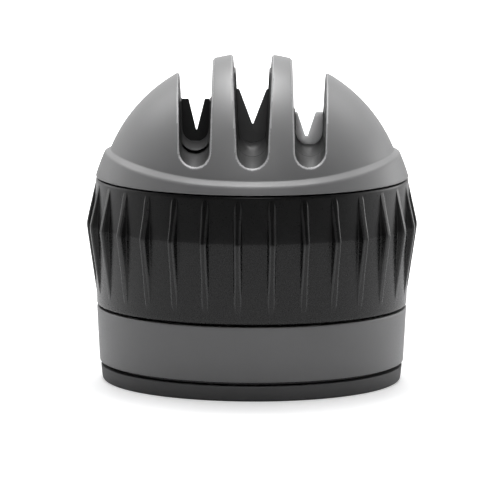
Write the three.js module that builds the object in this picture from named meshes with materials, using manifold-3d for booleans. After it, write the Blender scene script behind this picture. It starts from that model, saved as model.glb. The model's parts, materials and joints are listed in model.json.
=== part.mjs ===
// A round three-stage knife sharpener on a twist-lock suction base, in millimetres, +Z up.
// The origin is on the worktop, under the middle of the suction pad. The channels run along Y.
import * as THREE from 'three';
import { mergeVertices, toCreasedNormals } from 'three/addons/utils/BufferGeometryUtils.js';
import Module from 'manifold-3d';

const kernel = await Module();
kernel.setup();

// Fits
const seatGap = 0.3; // between pieces that are fitted together and stay still
const runningGap = 0.4; // between pieces that turn or slide on each other
const snugGap = 0.15; // beside the insert holders and around their plates
const overrun = 1; // how far a cut runs past the face that it opens

// Suction pad
const padInset = 1.42; // from the band's side in to the pad's
const padHeight = 3.75;
const padEdge = 0.55; // the rounding of its bottom edge
const padLip = 4.6; // the width of the ring that seals on the worktop
const padDish = 1.2; // how far its middle stands clear of the worktop
const padSkin = 1.8; // the rubber between the hub and the rim
const padRim = 7; // the thick outer rim's width
const beadInset = 3; // from the pad's edge to the bead that locks it under the chassis
const beadWidth = 2;
const beadHeight = 1.8;
const hubRadius = 8;
const hubFloor = 1.5; // the rubber under the stem's head
const hubHeight = 2.7; // the rubber above the stem's head
const hubClear = 4; // round the hub, to the chassis

// Base band
const padSeam = 0.95; // the dark line over the pad
const bandHeight = 13.25;
const bandProud = 0.02; // beyond the ring's foot
const bandDraft = 0.7; // how much narrower its foot is than its top
const bandWall = 2.2;
const bandEdge = 0.4; // the bevels of its two edges
const bandFloor = 2;
const landWidth = 2; // the upstanding ring that the cam sleeve turns on

// Grip ring
const bandSeam = 0.6; // the dark line under the grip ring
const ringHeight = 30.45;
const ringTopRadius = 37.65;
const ringDraft = 0.25; // how much narrower its foot is than its top
const ringWall = 2.4;
const waistProud = 0.55; // how far the wall swells at the ribs' crests
const ringEdge = 0.3;
const ribCount = 30;
const ribTurn = -5; // degrees, from the front to the first rib's middle
const ribWidth = 2.1;
const ribTopWidth = 1.5;
const ribShoulder = 0.4; // how far its sides are bevelled
const ribProud = 2.35; // from the ring's top edge out to the crests
const ribFootRise = 2; // from the ring's foot to the ribs' lower ends
const ribCrestRise = 19.3; // from the ring's foot to the ribs' crests
const ribHeadDrop = 0.7; // from the ribs' upper ends to the ring's top
const lugCount = 4;
const lugWidth = 6;
const lugAngle = 60; // degrees, clear of the cam sleeve's webs
const lugReach = 2; // how far the drive lugs stand in from the ring's wall

// Dome housing
const ringSeam = 0.4; // the dark line over the grip ring
const rimProud = 0.09; // beyond the ring's top
const rimEdge = 0.3;
const rimWall = 2.44;
const collarLean = 0.3; // how fast the collar draws in over its height
const collarBulgeRadius = 42;
const ledgeRise = 1.8; // from the rim to the ledge's edge at the front and the back
const ledgeSweep = 4; // how much higher that edge climbs at the sides
const ledgePower = 2.5; // how late it climbs
const ledgeHeight = 1.3; // from the ledge's outer edge to the dome
const ledgeFade = 0.45; // how much lower it is at the sides
const ledgeFadePower = 6; // how late it gets lower
const domeInset = 0.74; // from the rim in to the dome's sphere
const domeCentreDrop = 7.55; // the dome's centre lies this far under the rim
const domeWall = 2.2;
const cavityRise = 1.5; // how far the wide part of the cavity goes up
const domeTopRadius = 1; // where the dome's facets close, inside the middle channel

// Channels
const stagePitch = 13.68;
const channelRise = 5.95; // from the housing's rim to the channels' floors
const channelFloorWall = 2;
const middleChannelHalf = 3.63;
const sideChannelHalf = 3.56;
const middleDraftShare = 0.0565;
const sideDraftShare = 0.03;
const lipRound = 0.9; // the rounding of the channels' edges on the dome

// Sharpening stages: heights are from the channels' floors
const holderLength = 7;
const cheekThickness = 0.35; // the holders' uprights
const plateThickness = 2.6;
const coarseRaise = 0.6;
const coarsePocket = 2.6;
const coarseUpright = 12.5;
const coarsePlateTop = 12.4;
const coarseApex = 4.29;
const coarseNotchFloor = 4.75;
const coarseAngle = 13.8;
const coarseOffset = 0.27;
const mediumRaise = 0.15;
const mediumPocket = 2.35;
const mediumUpright = 19.6;
const mediumPlateTop = 14.9;
const mediumApex = 5.89;
const mediumNotchFloor = 6.5;
const mediumAngle = 20.7;
const mediumOffset = 0.09;
const fineRaise = 0.15;
const finePocket = 1.85;
const fineUpright = 9.9;
const finePlateTop = 9.4;
const fineApex = 2.5;
const fineNotchFloor = 3.6;
const fineAngle = 18.5;
const fineOffset = -0.68;
const shankHalf = 2.6; // the holders' shanks, in the windows of the channel floors
const shankLength = 6;
const footHalf = 4.2;
const footLength = 10;
const footThickness = 1.7;

// Insert retainer
const retainerThickness = 1.6;
const retainerOverhang = 9.12; // past the outer feet
const retainerWidth = 14;
const retainerCorner = 4;
const retainerBossClear = 4.62; // from the outer feet to the screws
const retainerBossRadius = 3;

// Deck plate
const deckDrop = 2.7; // from the grip ring's top to the deck's top
const deckThickness = 3.2;
const deckHole = 4.5;
const deckBossReach = 4.8; // from the column out to the screws that hold the housing
const deckBossAngle = 35; // degrees, from the X axis
const deckBossRadius = 3.4;

// Chassis
const flangeThickness = 3;
const columnWall = 2.2;
const columnClear = 0.6; // between the column and the band's bosses
const columnBossInset = 2.6; // from the column's bore in to its screws
const columnBossRadius = 2.8;
const columnBossHeight = 5.5;
const columnBossAngle = 30;
const baseScrewClear = 2.5; // from the pad's bead in to the screws' heads
const baseScrewAngle = 30;
const baseBossRadius = 3.2;
const baseBossDrop = 2.3; // from the sleeve's foot down to the band's bosses

// Cam sleeve
const sleeveWall = 4;
const sleeveFlange = 3;
const webCount = 3;
const webThickness = 1.6;
const webInset = 1; // from the flanges' edges in to the webs'
const webAngle = 15;

// Lift: the grip ring's turn and what it raises
const lift = 3;
const lockAngle = 90;
const pinCount = 3;
const pinAngle = 90;
const pinRadius = 2.2;
const pinRise = 8.45; // from the ring's foot to the pins, at rest
const pinInnerEnd = 11;
const carrierHeight = 9;
const carrierSkin = 2;
const carrierHub = 7.5;
const carrierRim = 2.2;
const pocketTurn = 25; // degrees, from a pin to the edges of the pockets beside it

// Stem, nut and spring
const stemRadius = 3;
const stemHeadRadius = 5;
const stemHeadThickness = 1.5;
const stemCollarThickness = 1.8;
const stemTopRise = 6.5; // from the carrier to the stem's end
const stemChamfer = 0.6;
const washerRadius = 6;
const washerThickness = 1;
const nutRadius = 4.8;
const nutHeight = 3.2;
const nutSides = 6;
const wireRadius = 0.6;
const springClear = 0.6; // between the spring and the column's bosses
const springTurns = 3;

// Screws
const screwRadius = 1.2;
const screwHeadRadius = 2.5;
const screwHeadHeight = 1.6;
const screwHeadFlatShare = 0.6;
const screwTip = 1.2;
const screwLength = 9;
const counterbore = 2;
const boreDepth = 10;

// Smoothness
const outerSteps = 72;
const hiddenSteps = 40;
const smallSteps = 16;
const screwSteps = 8;
const domeRows = 8;
const arcSteps = 6;
const wallRows = 4;
const springSteps = 8;
const wireSides = 5;
const cornerShare = 0.3; // how deep the middle of a rounding cuts into its corner
const wallPower = 1.5; // how much closer the rows of a channel's wall lie under its lips
const leastStep = 0.05; // between the rings of a cutter, where they close up
const crease = THREE.MathUtils.degToRad(28);
const mergeDistance = 1e-4;

// Radii that follow from the ring's, from the outside in
const ringFootRadius = ringTopRadius - ringDraft;
const ringInnerRadius = ringFootRadius - ringWall;
const ribCrestRadius = ringTopRadius + ribProud;
const rimRadius = ringTopRadius + rimProud;
const rimInnerRadius = rimRadius - rimWall;
const domeRadius = rimRadius - domeInset;
const bandRadius = ringFootRadius + bandProud;
const bandInnerRadius = bandRadius - bandWall;
const padRadius = bandRadius - padInset;
const beadRadius = padRadius - beadInset;
const flangeRadius = bandInnerRadius - seatGap;
const baseScrewCircleRadius = beadRadius - beadWidth - baseScrewClear - screwHeadRadius;
const columnRadius = baseScrewCircleRadius - baseBossRadius - columnClear;
const columnInnerRadius = columnRadius - columnWall;
const columnBossCircleRadius = columnInnerRadius - columnBossInset;
const deckBossCircleRadius = columnRadius + deckBossReach;
const deckRadius = ringInnerRadius - runningGap;
const sleeveInnerRadius = columnRadius + runningGap;
const sleeveRadius = sleeveInnerRadius + sleeveWall;
const sleeveFlangeRadius = ringInnerRadius - seatGap;
const carrierRadius = columnInnerRadius - runningGap;
const springRadius = columnBossCircleRadius - columnBossRadius - springClear - wireRadius;
const chassisHole = hubRadius + hubClear;
const stemBore = stemRadius + seatGap;
const screwBore = screwRadius + seatGap;
const footEnd = stagePitch + footHalf;
const retainerBossOffset = footEnd + retainerBossClear;

// Heights of the stack, from the worktop up
const flangeBottom = padHeight + seatGap;
const flangeTop = flangeBottom + flangeThickness;
const bandBottom = padHeight + padSeam;
const bandTop = bandBottom + bandHeight;
const ringBottom = bandTop + bandSeam;
const ringTop = ringBottom + ringHeight;
const rimBottom = ringTop + ringSeam;
const deckTop = ringTop - deckDrop;
const deckBottom = deckTop - deckThickness;
const domeCentre = rimBottom - domeCentreDrop;
const channelFloor = rimBottom + channelRise;
const domeTop = domeCentre + domeRadius;
const bandFloorBottom = flangeTop + seatGap;
const bandFloorTop = bandFloorBottom + bandFloor;
const landTop = ringBottom - runningGap;
const baseBossTop = landTop - baseBossDrop;
const sleeveTop = deckBottom - runningGap;
const pinRestHeight = ringBottom + pinRise;
const carrierBottom = pinRestHeight - carrierHeight / 2;
const carrierTop = carrierBottom + carrierHeight;
const stemHeadBottom = padDish + hubFloor + seatGap;
const ceiling = channelFloor - channelFloorWall;
const footTop = ceiling - seatGap;
const footBottom = footTop - footThickness;
const retainerTop = footBottom - seatGap;
const retainerBottom = retainerTop - retainerThickness;

const coarse = {
  name: 'coarse', x: -stagePitch, half: sideChannelHalf, draft: sideDraftShare,
  raise: coarseRaise, pocket: coarsePocket, upright: coarseUpright, plateTop: coarsePlateTop,
  apex: coarseApex, notchFloor: coarseNotchFloor, angle: coarseAngle, offset: coarseOffset,
};
const medium = {
  name: 'medium', x: 0, half: middleChannelHalf, draft: middleDraftShare,
  raise: mediumRaise, pocket: mediumPocket, upright: mediumUpright, plateTop: mediumPlateTop,
  apex: mediumApex, notchFloor: mediumNotchFloor, angle: mediumAngle, offset: mediumOffset,
};
const fine = {
  name: 'fine', x: stagePitch, half: sideChannelHalf, draft: sideDraftShare,
  raise: fineRaise, pocket: finePocket, upright: fineUpright, plateTop: finePlateTop,
  apex: fineApex, notchFloor: fineNotchFloor, angle: fineAngle, offset: fineOffset,
};
const stages = [coarse, medium, fine];
const lipDepths = [0, lipRound / 4, lipRound];

// Finishes
const finishes = {
  greyPlastic: { color: 0x8f8f90, roughness: 0.42, metalness: 0 },
  bandPlastic: { color: 0x6f6f70, roughness: 0.42, metalness: 0 },
  blackPlastic: { color: 0x1c1c1d, roughness: 0.45, metalness: 0 },
  innerPlastic: { color: 0x3a3b3c, roughness: 0.6, metalness: 0 },
  acetal: { color: 0xd8d6cf, roughness: 0.5, metalness: 0 },
  rubber: { color: 0x242425, roughness: 0.75, metalness: 0 },
  carbide: { color: 0x202123, roughness: 0.4, metalness: 0.6 },
  diamond: { color: 0x3c3d3f, roughness: 0.7, metalness: 0.4 },
  ceramic: { color: 0xa9a9a8, roughness: 0.5, metalness: 0 },
  steel: { color: 0xb4b5b7, roughness: 0.35, metalness: 0.9 },
};

// A closed mesh as a solid that can be joined and cut.
function solid(geometry) {
  const bare = geometry.clone();
  bare.deleteAttribute('normal');
  bare.deleteAttribute('uv');
  const merged = mergeVertices(bare, mergeDistance);
  const vertProperties = new Float32Array(merged.attributes.position.array);
  const triVerts = new Uint32Array(merged.index.array);
  return new kernel.Manifold(new kernel.Mesh({ numProp: 3, vertProperties, triVerts }));
}

// A solid back as geometry, with its soft edges shaded smooth.
function surface(body) {
  const mesh = body.getMesh();
  const geometry = new THREE.BufferGeometry();
  geometry.setAttribute('position', new THREE.BufferAttribute(mesh.vertProperties, 3));
  geometry.setIndex(new THREE.BufferAttribute(mesh.triVerts, 1));
  return toCreasedNormals(geometry, crease);
}

// A profile of [radius, height] points turned about Z, seen with its outside on the right.
function turned(profile, steps = hiddenSteps) {
  const points = profile.map(([radius, height]) => new THREE.Vector2(radius, height));
  return solid(new THREE.LatheGeometry(points, steps).rotateX(Math.PI / 2));
}

// A turned ring, whose profile closes on itself.
function turnedRing(profile, steps = hiddenSteps) {
  return turned([...profile, profile[0]], steps);
}

// A plain round bar along Z.
function bar(radius, bottom, top, steps = screwSteps) {
  return turned([[0, bottom], [radius, bottom], [radius, top], [0, top]], steps);
}

// An outline in X and Y, raised along Z.
function raised(shape, bottom, top) {
  const options = { depth: top - bottom, bevelEnabled: false, curveSegments: arcSteps };
  return solid(new THREE.ExtrudeGeometry(shape, options).translate(0, 0, bottom));
}

// An outline in X and Z, carried along Y between two places.
function carried(points, front, back) {
  const shape = new THREE.Shape(points.map(([x, z]) => new THREE.Vector2(x, z)));
  const options = { depth: back - front, bevelEnabled: false };
  return solid(new THREE.ExtrudeGeometry(shape, options).rotateX(Math.PI / 2).translate(0, back, 0));
}

function block(x0, x1, y0, y1, z0, z1) {
  const box = new THREE.BoxGeometry(x1 - x0, y1 - y0, z1 - z0);
  return solid(box.translate((x0 + x1) / 2, (y0 + y1) / 2, (z0 + z1) / 2));
}

// A skin over rings of points, all with as many points, closed by a flat fan at each end.
function lofted(rings) {
  const around = rings[0].length;
  const positions = rings.flat(2);
  const faces = [];
  for (let row = 0; row + 1 < rings.length; row += 1) {
    for (let i = 0; i < around; i += 1) {
      const next = (i + 1) % around;
      const [a, b] = [row * around + i, row * around + next];
      faces.push(a, b, b + around, a, b + around, a + around);
    }
  }
  const last = (rings.length - 1) * around;
  for (let i = 1; i + 1 < around; i += 1) {
    faces.push(0, i + 1, i, last, last + i, last + i + 1);
  }
  const geometry = new THREE.BufferGeometry();
  geometry.setAttribute('position', new THREE.Float32BufferAttribute(positions, 3));
  geometry.setIndex(faces);
  return solid(geometry);
}

// Angles in degrees, evenly round the axis.
function anglesOf(count, start) {
  return Array.from({ length: count }, (_, i) => start + (i * 360) / count);
}

// Where a radius and an angle in degrees lead to.
function polar(radius, angle) {
  const turn = THREE.MathUtils.degToRad(angle);
  return [radius * Math.cos(turn), radius * Math.sin(turn)];
}

function spun(body, angle) {
  return body.rotate([0, 0, angle]);
}

function joined(bodies) {
  return bodies.reduce((whole, next) => whole.add(next));
}

// The outline of a channel, pocket or tongue: a round bottom, and walls that lean apart.
function tongue(half, bottom, top, draft) {
  const centre = bottom + half;
  const topHalf = half + draft * (top - centre);
  const points = [[topHalf, top]];
  for (let i = 0; i <= 2 * arcSteps; i += 1) {
    const turn = (Math.PI * i) / (2 * arcSteps);
    points.push([half * Math.cos(turn), centre - half * Math.sin(turn)]);
  }
  points.push([-topHalf, top]);
  return points;
}

// Suction pad: a rim that seals on the worktop, a dished skin, and a hub round the stem's head.
function suctionPad() {
  const rimInner = padRadius - padRim;
  const skinTop = padDish + padSkin;
  const headTop = stemHeadBottom + stemHeadThickness;
  const hubTop = headTop + seatGap + hubHeight;
  return turned([
    [0, padDish],
    [hubRadius, padDish],
    [padRadius - padEdge - padLip, 0],
    [padRadius - padEdge, 0],
    [padRadius - padEdge * cornerShare, padEdge * cornerShare],
    [padRadius, padEdge],
    [padRadius, padHeight - padEdge / 2],
    [padRadius - padEdge / 2, padHeight],
    [beadRadius, padHeight],
    [beadRadius, padHeight + beadHeight],
    [beadRadius - beadWidth, padHeight + beadHeight],
    [beadRadius - beadWidth, padHeight],
    [rimInner, padHeight],
    [rimInner - padSkin, skinTop - padSkin * cornerShare],
    [hubRadius + padSkin / 2, skinTop],
    [hubRadius, skinTop + padSkin / 2],
    [hubRadius, hubTop],
    [stemBore, hubTop],
    [stemBore, headTop + seatGap],
    [stemHeadRadius + seatGap, headTop + seatGap],
    [stemHeadRadius + seatGap, padDish + hubFloor],
    [0, padDish + hubFloor],
  ]);
}

// Chassis: a foot flange on the pad, and the column that guides the carrier inside and the sleeve outside.
function chassis() {
  const columnTop = deckBottom - seatGap;
  const grooveTop = padHeight + beadHeight + seatGap;
  const grooveOuter = beadRadius + seatGap;
  const grooveInner = grooveOuter - beadWidth - 2 * seatGap;
  let body = turnedRing([
    [chassisHole, flangeBottom],
    [grooveInner, flangeBottom],
    [grooveInner, grooveTop],
    [grooveOuter, grooveTop],
    [grooveOuter, flangeBottom],
    [flangeRadius, flangeBottom],
    [flangeRadius, flangeTop],
    [columnRadius, flangeTop],
    [columnRadius, columnTop],
    [columnInnerRadius, columnTop],
    [columnInnerRadius, flangeTop],
    [chassisHole, flangeTop],
  ]);
  for (const angle of anglesOf(pinCount, columnBossAngle)) {
    const [x, y] = polar(columnBossCircleRadius, angle);
    const boss = bar(columnBossRadius, columnTop - columnBossHeight, columnTop, smallSteps);
    const bore = bar(screwBore, columnTop - boreDepth, columnTop + overrun);
    body = body.add(boss.translate([x, y, 0])).subtract(bore.translate([x, y, 0]));
  }
  const reach = columnRadius + overrun;
  const slot = guideSlot(columnInnerRadius - columnWall, reach);
  for (const angle of anglesOf(pinCount, pinAngle)) body = body.subtract(spun(slot, angle));
  for (const angle of anglesOf(pinCount, baseScrewAngle)) {
    const [x, y] = polar(baseScrewCircleRadius, angle);
    const hole = bar(screwBore, flangeBottom - overrun, flangeTop + overrun);
    const recess = bar(screwHeadRadius + seatGap, flangeBottom - overrun, flangeBottom + counterbore);
    body = body.subtract(hole.add(recess).translate([x, y, 0]));
  }
  return body;
}

// An upright slot with round ends, cut outwards along X, in which a cam pin rises.
function guideSlot(inner, outer) {
  const half = pinRadius + runningGap;
  const low = pinRestHeight;
  const high = pinRestHeight + lift;
  const points = [];
  for (let i = 0; i <= 2 * arcSteps; i += 1) {
    const turn = (Math.PI * i) / (2 * arcSteps);
    points.push([half * Math.cos(turn), high + half * Math.sin(turn)]);
  }
  for (let i = 0; i <= 2 * arcSteps; i += 1) {
    const turn = (Math.PI * i) / (2 * arcSteps);
    points.push([-half * Math.cos(turn), low - half * Math.sin(turn)]);
  }
  return spun(carried(points, inner, outer), -90);
}

// Base band: the grey outer wall, its floor on the chassis flange, and the land under the cam sleeve.
function baseBand() {
  const footRadius = bandRadius - bandDraft;
  const landInner = sleeveInnerRadius + (sleeveWall - landWidth) / 2;
  const floorInner = columnRadius + seatGap;
  let body = turnedRing([
    [bandInnerRadius, bandBottom],
    [footRadius - bandEdge, bandBottom],
    [footRadius, bandBottom + bandEdge],
    [bandRadius, bandTop - bandEdge],
    [bandRadius - bandEdge, bandTop],
    [bandInnerRadius, bandTop],
    [bandInnerRadius, bandFloorTop],
    [landInner + landWidth, bandFloorTop],
    [landInner + landWidth, landTop],
    [landInner, landTop],
    [landInner, bandFloorTop],
    [floorInner, bandFloorTop],
    [floorInner, bandFloorBottom],
    [bandInnerRadius, bandFloorBottom],
  ], outerSteps);
  for (const angle of anglesOf(pinCount, baseScrewAngle)) {
    const [x, y] = polar(baseScrewCircleRadius, angle);
    const boss = bar(baseBossRadius, bandFloorBottom, baseBossTop, smallSteps);
    const bore = bar(screwBore, bandFloorBottom - overrun, bandFloorBottom + boreDepth - overrun);
    body = body.add(boss.translate([x, y, 0])).subtract(bore.translate([x, y, 0]));
  }
  return body;
}

// Cam sleeve: a tube with three rising slots, flanged at both ends, notched for the ring's lugs.
function camSleeve() {
  let body = turnedRing([
    [sleeveInnerRadius, ringBottom],
    [sleeveFlangeRadius, ringBottom],
    [sleeveFlangeRadius, ringBottom + sleeveFlange],
    [sleeveRadius, ringBottom + sleeveFlange],
    [sleeveRadius, sleeveTop - sleeveFlange],
    [sleeveFlangeRadius, sleeveTop - sleeveFlange],
    [sleeveFlangeRadius, sleeveTop],
    [sleeveInnerRadius, sleeveTop],
  ]);
  const webInner = sleeveRadius - sleeveWall / 2;
  const web = block(
    webInner, sleeveFlangeRadius - webInset, -webThickness / 2, webThickness / 2,
    ringBottom + sleeveFlange / 2, sleeveTop - sleeveFlange / 2,
  );
  for (const angle of anglesOf(webCount, pinAngle + webAngle)) body = body.add(spun(web, angle));
  const notch = block(
    ringInnerRadius - lugReach - seatGap, ringInnerRadius + overrun,
    -lugWidth / 2 - seatGap, lugWidth / 2 + seatGap,
    ringBottom + sleeveFlange + overrun, sleeveTop + overrun,
  );
  for (const angle of anglesOf(lugCount, lugAngle)) body = body.subtract(spun(notch, angle));
  const ramp = camSlot();
  for (const angle of anglesOf(pinCount, pinAngle)) body = body.subtract(spun(ramp, angle));
  return body;
}

// The slot that climbs by the lift while the sleeve turns by the lock angle, starting at its pin.
function camSlot() {
  const inner = sleeveInnerRadius - overrun;
  const outer = sleeveRadius + overrun;
  const half = pinRadius + runningGap;
  const slack = THREE.MathUtils.radToDeg(half / sleeveInnerRadius);
  const count = 2 * arcSteps;
  const rings = [];
  for (let i = 0; i <= count; i += 1) {
    const angle = slack - ((lockAngle + 2 * slack) * i) / count;
    const rise = THREE.MathUtils.clamp(-angle / lockAngle, 0, 1) * lift;
    const middle = pinRestHeight + rise;
    const [ix, iy] = polar(inner, angle);
    const [ox, oy] = polar(outer, angle);
    rings.push([
      [ix, iy, middle - half], [ox, oy, middle - half],
      [ox, oy, middle + half], [ix, iy, middle + half],
    ]);
  }
  return lofted(rings);
}

// Grip ring: a thin wall that swells to a waist, with thirty crested ribs outside and drive lugs inside.
function gripRing() {
  let body = turnedRing([
    [ringInnerRadius, ringBottom],
    [ringFootRadius - ringEdge, ringBottom],
    [ringFootRadius, ringBottom + ringEdge],
    [ringTopRadius + waistProud, ringBottom + ribCrestRise],
    [ringTopRadius, ringTop - ringEdge],
    [ringTopRadius - ringEdge, ringTop],
    [ringInnerRadius, ringTop],
  ], outerSteps);
  const rib = gripRib();
  const ribs = anglesOf(ribCount, ribTurn).map((angle) => spun(rib, angle - 90));
  const lug = block(
    ringInnerRadius - lugReach, (ringInnerRadius + ringFootRadius) / 2,
    -lugWidth / 2, lugWidth / 2,
    ringBottom + sleeveFlange + seatGap, sleeveTop - seatGap,
  );
  const lugs = anglesOf(lugCount, lugAngle).map((angle) => spun(lug, angle));
  return body.add(joined(ribs)).add(joined(lugs));
}

// One rib along X: it swells from the wall to a crest above the ring's middle and runs out again.
function gripRib() {
  const root = (ringInnerRadius + ringFootRadius) / 2;
  const [wide, narrow] = [ribWidth / 2, ribTopWidth / 2];
  const section = (reach, height) => [
    [root, -wide, height], [reach - ribShoulder, -wide, height], [reach, -narrow, height],
    [reach, narrow, height], [reach - ribShoulder, wide, height], [root, wide, height],
  ];
  return lofted([
    section(ringFootRadius, ringBottom + ribFootRise),
    section(ribCrestRadius, ringBottom + ribCrestRise),
    section(ringTopRadius, ringTop - ribHeadDrop),
  ]);
}

// How high the ledge's outer edge stands at a distance from the middle plane.
function ledgeEdge(x) {
  const share = Math.min(Math.abs(x) / rimRadius, 1);
  return rimBottom + ledgeRise + ledgeSweep * share ** ledgePower;
}

// How much higher the dome's foot stands than that edge: less at the sides.
function ledgeStep(x) {
  return ledgeHeight - ledgeFade * (Math.abs(x) / rimRadius) ** ledgeFadePower;
}

// The collar draws in as it rises, a little faster towards the top.
function collarRadius(rise) {
  return rimRadius - collarLean * rise - rise ** 2 / (2 * collarBulgeRadius);
}

// The housing's outside: a bevelled rim, the collar, the sweeping ledge, and the dome.
function domeSkin() {
  const rows = domeRows + 5;
  const rings = Array.from({ length: rows }, () => []);
  for (let i = 0; i < outerSteps; i += 1) {
    const angle = (360 * i) / outerSteps;
    const across = polar(rimRadius, angle)[0];
    const edge = ledgeEdge(across);
    const rise = edge - rimBottom;
    const foot = edge + ledgeStep(across);
    const start = Math.asin((foot - domeCentre) / domeRadius);
    const finish = Math.acos(domeTopRadius / domeRadius);
    const profile = [
      [rimRadius - rimEdge, rimBottom],
      [collarRadius(rimEdge), rimBottom + rimEdge],
      [collarRadius(rise / 2), rimBottom + rise / 2],
      [collarRadius(rise), edge],
    ];
    for (let row = 0; row <= domeRows; row += 1) {
      const climb = start + ((finish - start) * row) / domeRows;
      profile.push([domeRadius * Math.cos(climb), domeCentre + domeRadius * Math.sin(climb)]);
    }
    profile.forEach(([radius, height], row) => rings[row].push([...polar(radius, angle), height]));
  }
  return lofted(rings);
}

// The hollow under the dome: wide at the rim, round above, and shut off under the channels.
function domeCavity() {
  const inner = domeRadius - domeWall;
  const wideTop = rimBottom + cavityRise;
  const start = Math.asin((wideTop - domeCentre) / inner);
  const mouth = rimBottom - overrun;
  const profile = [[0, mouth], [rimInnerRadius, mouth], [rimInnerRadius, wideTop]];
  for (let row = 0; row < domeRows; row += 1) {
    const climb = start + ((Math.PI / 2 - start) * row) / domeRows;
    profile.push([inner * Math.cos(climb), domeCentre + inner * Math.sin(climb)]);
  }
  profile.push([0, domeCentre + inner]);
  const coreHalf = stagePitch + channelHalfAt(fine, domeTop) + channelFloorWall;
  const core = block(-coreHalf, coreHalf, -domeRadius, domeRadius, ceiling, domeTop);
  return turned(profile, hiddenSteps).subtract(core);
}

function channelHalfAt(stage, height) {
  return stage.half + stage.draft * (height - channelFloor - stage.half);
}

// How far a channel's wall is rounded back at a depth under the dome's skin.
function lipOffset(depth) {
  if (depth >= lipRound) return 0;
  if (depth <= 0) return lipRound - depth;
  return lipRound - Math.sqrt(lipRound ** 2 - (lipRound - depth) ** 2);
}

// One channel's cutter: the round-bottomed outline carried along Y, flared where it leaves the dome.
function channelCutter(stage) {
  const top = domeTop + 2 * overrun;
  const depths = [-overrun, ...lipDepths];
  const centre = channelFloor + stage.half;
  const outline = [];
  for (const height of wallHeights(stage, top, 1)) {
    outline.push({ x: channelHalfAt(stage, height), z: height, out: [1, 0] });
  }
  for (let i = 1; i < 2 * arcSteps; i += 1) {
    const turn = (Math.PI * i) / (2 * arcSteps);
    const out = [Math.cos(turn), -Math.sin(turn)];
    outline.push({ x: stage.half * out[0], z: centre + stage.half * out[1], out });
  }
  for (const height of wallHeights(stage, top, -1).reverse()) {
    outline.push({ x: -channelHalfAt(stage, height), z: height, out: [-1, 0] });
  }
  const ring = (depth, order, side) => outline.map(({ x, z, out }) => {
    const across = (stage.x + x) ** 2 + (z - domeCentre) ** 2;
    const reach = Math.sqrt(Math.max((domeRadius - depth) ** 2 - across, 0));
    const y = Math.max(reach, order * leastStep);
    const offset = lipOffset(domeRadius - Math.sqrt(across + y ** 2));
    return [stage.x + x + out[0] * offset, side * y, z + out[1] * offset];
  });
  const far = outline.map(({ x, z, out }) => [
    stage.x + x + out[0] * (lipRound + overrun), domeRadius + overrun, z + out[1] * (lipRound + overrun),
  ]);
  const near = depths.map((depth, i) => ring(depth, depths.length - i, 1));
  const back = [far, ...near].reverse();
  const front = [far, ...near].map((points) => points.map(([x, y, z]) => [x, -y, z]));
  return lofted([...front, ...back]);
}

// The heights at which a channel's wall is sampled: at each lip depth under the dome's crest, then down.
function wallHeights(stage, top, side) {
  const bottom = channelFloor + stage.half;
  const wall = stage.x + side * channelHalfAt(stage, domeTop);
  const crests = lipDepths.map((depth) => domeCentre + Math.sqrt((domeRadius - depth) ** 2 - wall ** 2));
  const lowest = crests[crests.length - 1];
  const heights = [top, ...crests];
  for (let i = 1; i <= wallRows; i += 1) {
    heights.push(lowest - (lowest - bottom) * (i / wallRows) ** wallPower);
  }
  return heights;
}

// Dome housing: the skin hollowed out, cut by the three channels, with its screw bosses inside.
function domeHousing() {
  const skin = domeSkin();
  const bosses = deckBossPlaces()
    .map(([x, y]) => ({ x, y, radius: deckBossRadius, foot: deckTop + seatGap }));
  for (const side of [-1, 1]) {
    const foot = retainerTop + seatGap;
    bosses.push({ x: side * retainerBossOffset, y: 0, radius: retainerBossRadius, foot });
  }
  const within = skin.add(bar(rimInnerRadius - rimEdge, deckTop, rimBottom + overrun, hiddenSteps));
  let body = skin.subtract(domeCavity());
  for (const { x, y, radius, foot } of bosses) {
    const boss = bar(radius, foot, domeTop, smallSteps).translate([x, y, 0]);
    body = body.add(boss.intersect(within));
  }
  for (const { x, y, foot } of bosses) {
    body = body.subtract(bar(screwBore, foot - overrun, foot + boreDepth).translate([x, y, 0]));
  }
  for (const stage of stages) {
    const half = shankHalf + seatGap;
    const length = shankLength / 2 + seatGap;
    const window = block(
      stage.x - half, stage.x + half, -length, length, ceiling - overrun, channelFloor + stage.half,
    );
    body = body.subtract(channelCutter(stage)).subtract(window);
  }
  return body;
}

function deckBossPlaces() {
  return [deckBossAngle, 180 - deckBossAngle, 180 + deckBossAngle, -deckBossAngle]
    .map((angle) => polar(deckBossCircleRadius, angle));
}

// Insert holder: a U-shaped frame in the channel, on a shank through its floor and a foot under it.
function insertHolder(stage) {
  const seat = channelFloor + stage.raise;
  const top = channelFloor + stage.upright;
  const outerHalf = stage.half - snugGap;
  const pocketHalf = outerHalf - cheekThickness;
  const outer = tongue(outerHalf, seat, top, stage.draft);
  const pocketBottom = channelFloor + stage.pocket;
  const pocket = tongue(pocketHalf, pocketBottom, top + overrun, stage.draft);
  const front = -holderLength / 2;
  const frame = carried(outer, front, -front).subtract(carried(pocket, front - overrun, -front + overrun));
  const shank = block(
    -shankHalf, shankHalf, -shankLength / 2, shankLength / 2,
    footTop - footThickness / 2, pocketBottom,
  ).subtract(carried(pocket, front - overrun, -front + overrun));
  const foot = block(-footHalf, footHalf, -footLength / 2, footLength / 2, footBottom, footTop);
  return frame.add(shank).add(foot).translate([stage.x, 0, 0]);
}

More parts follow.
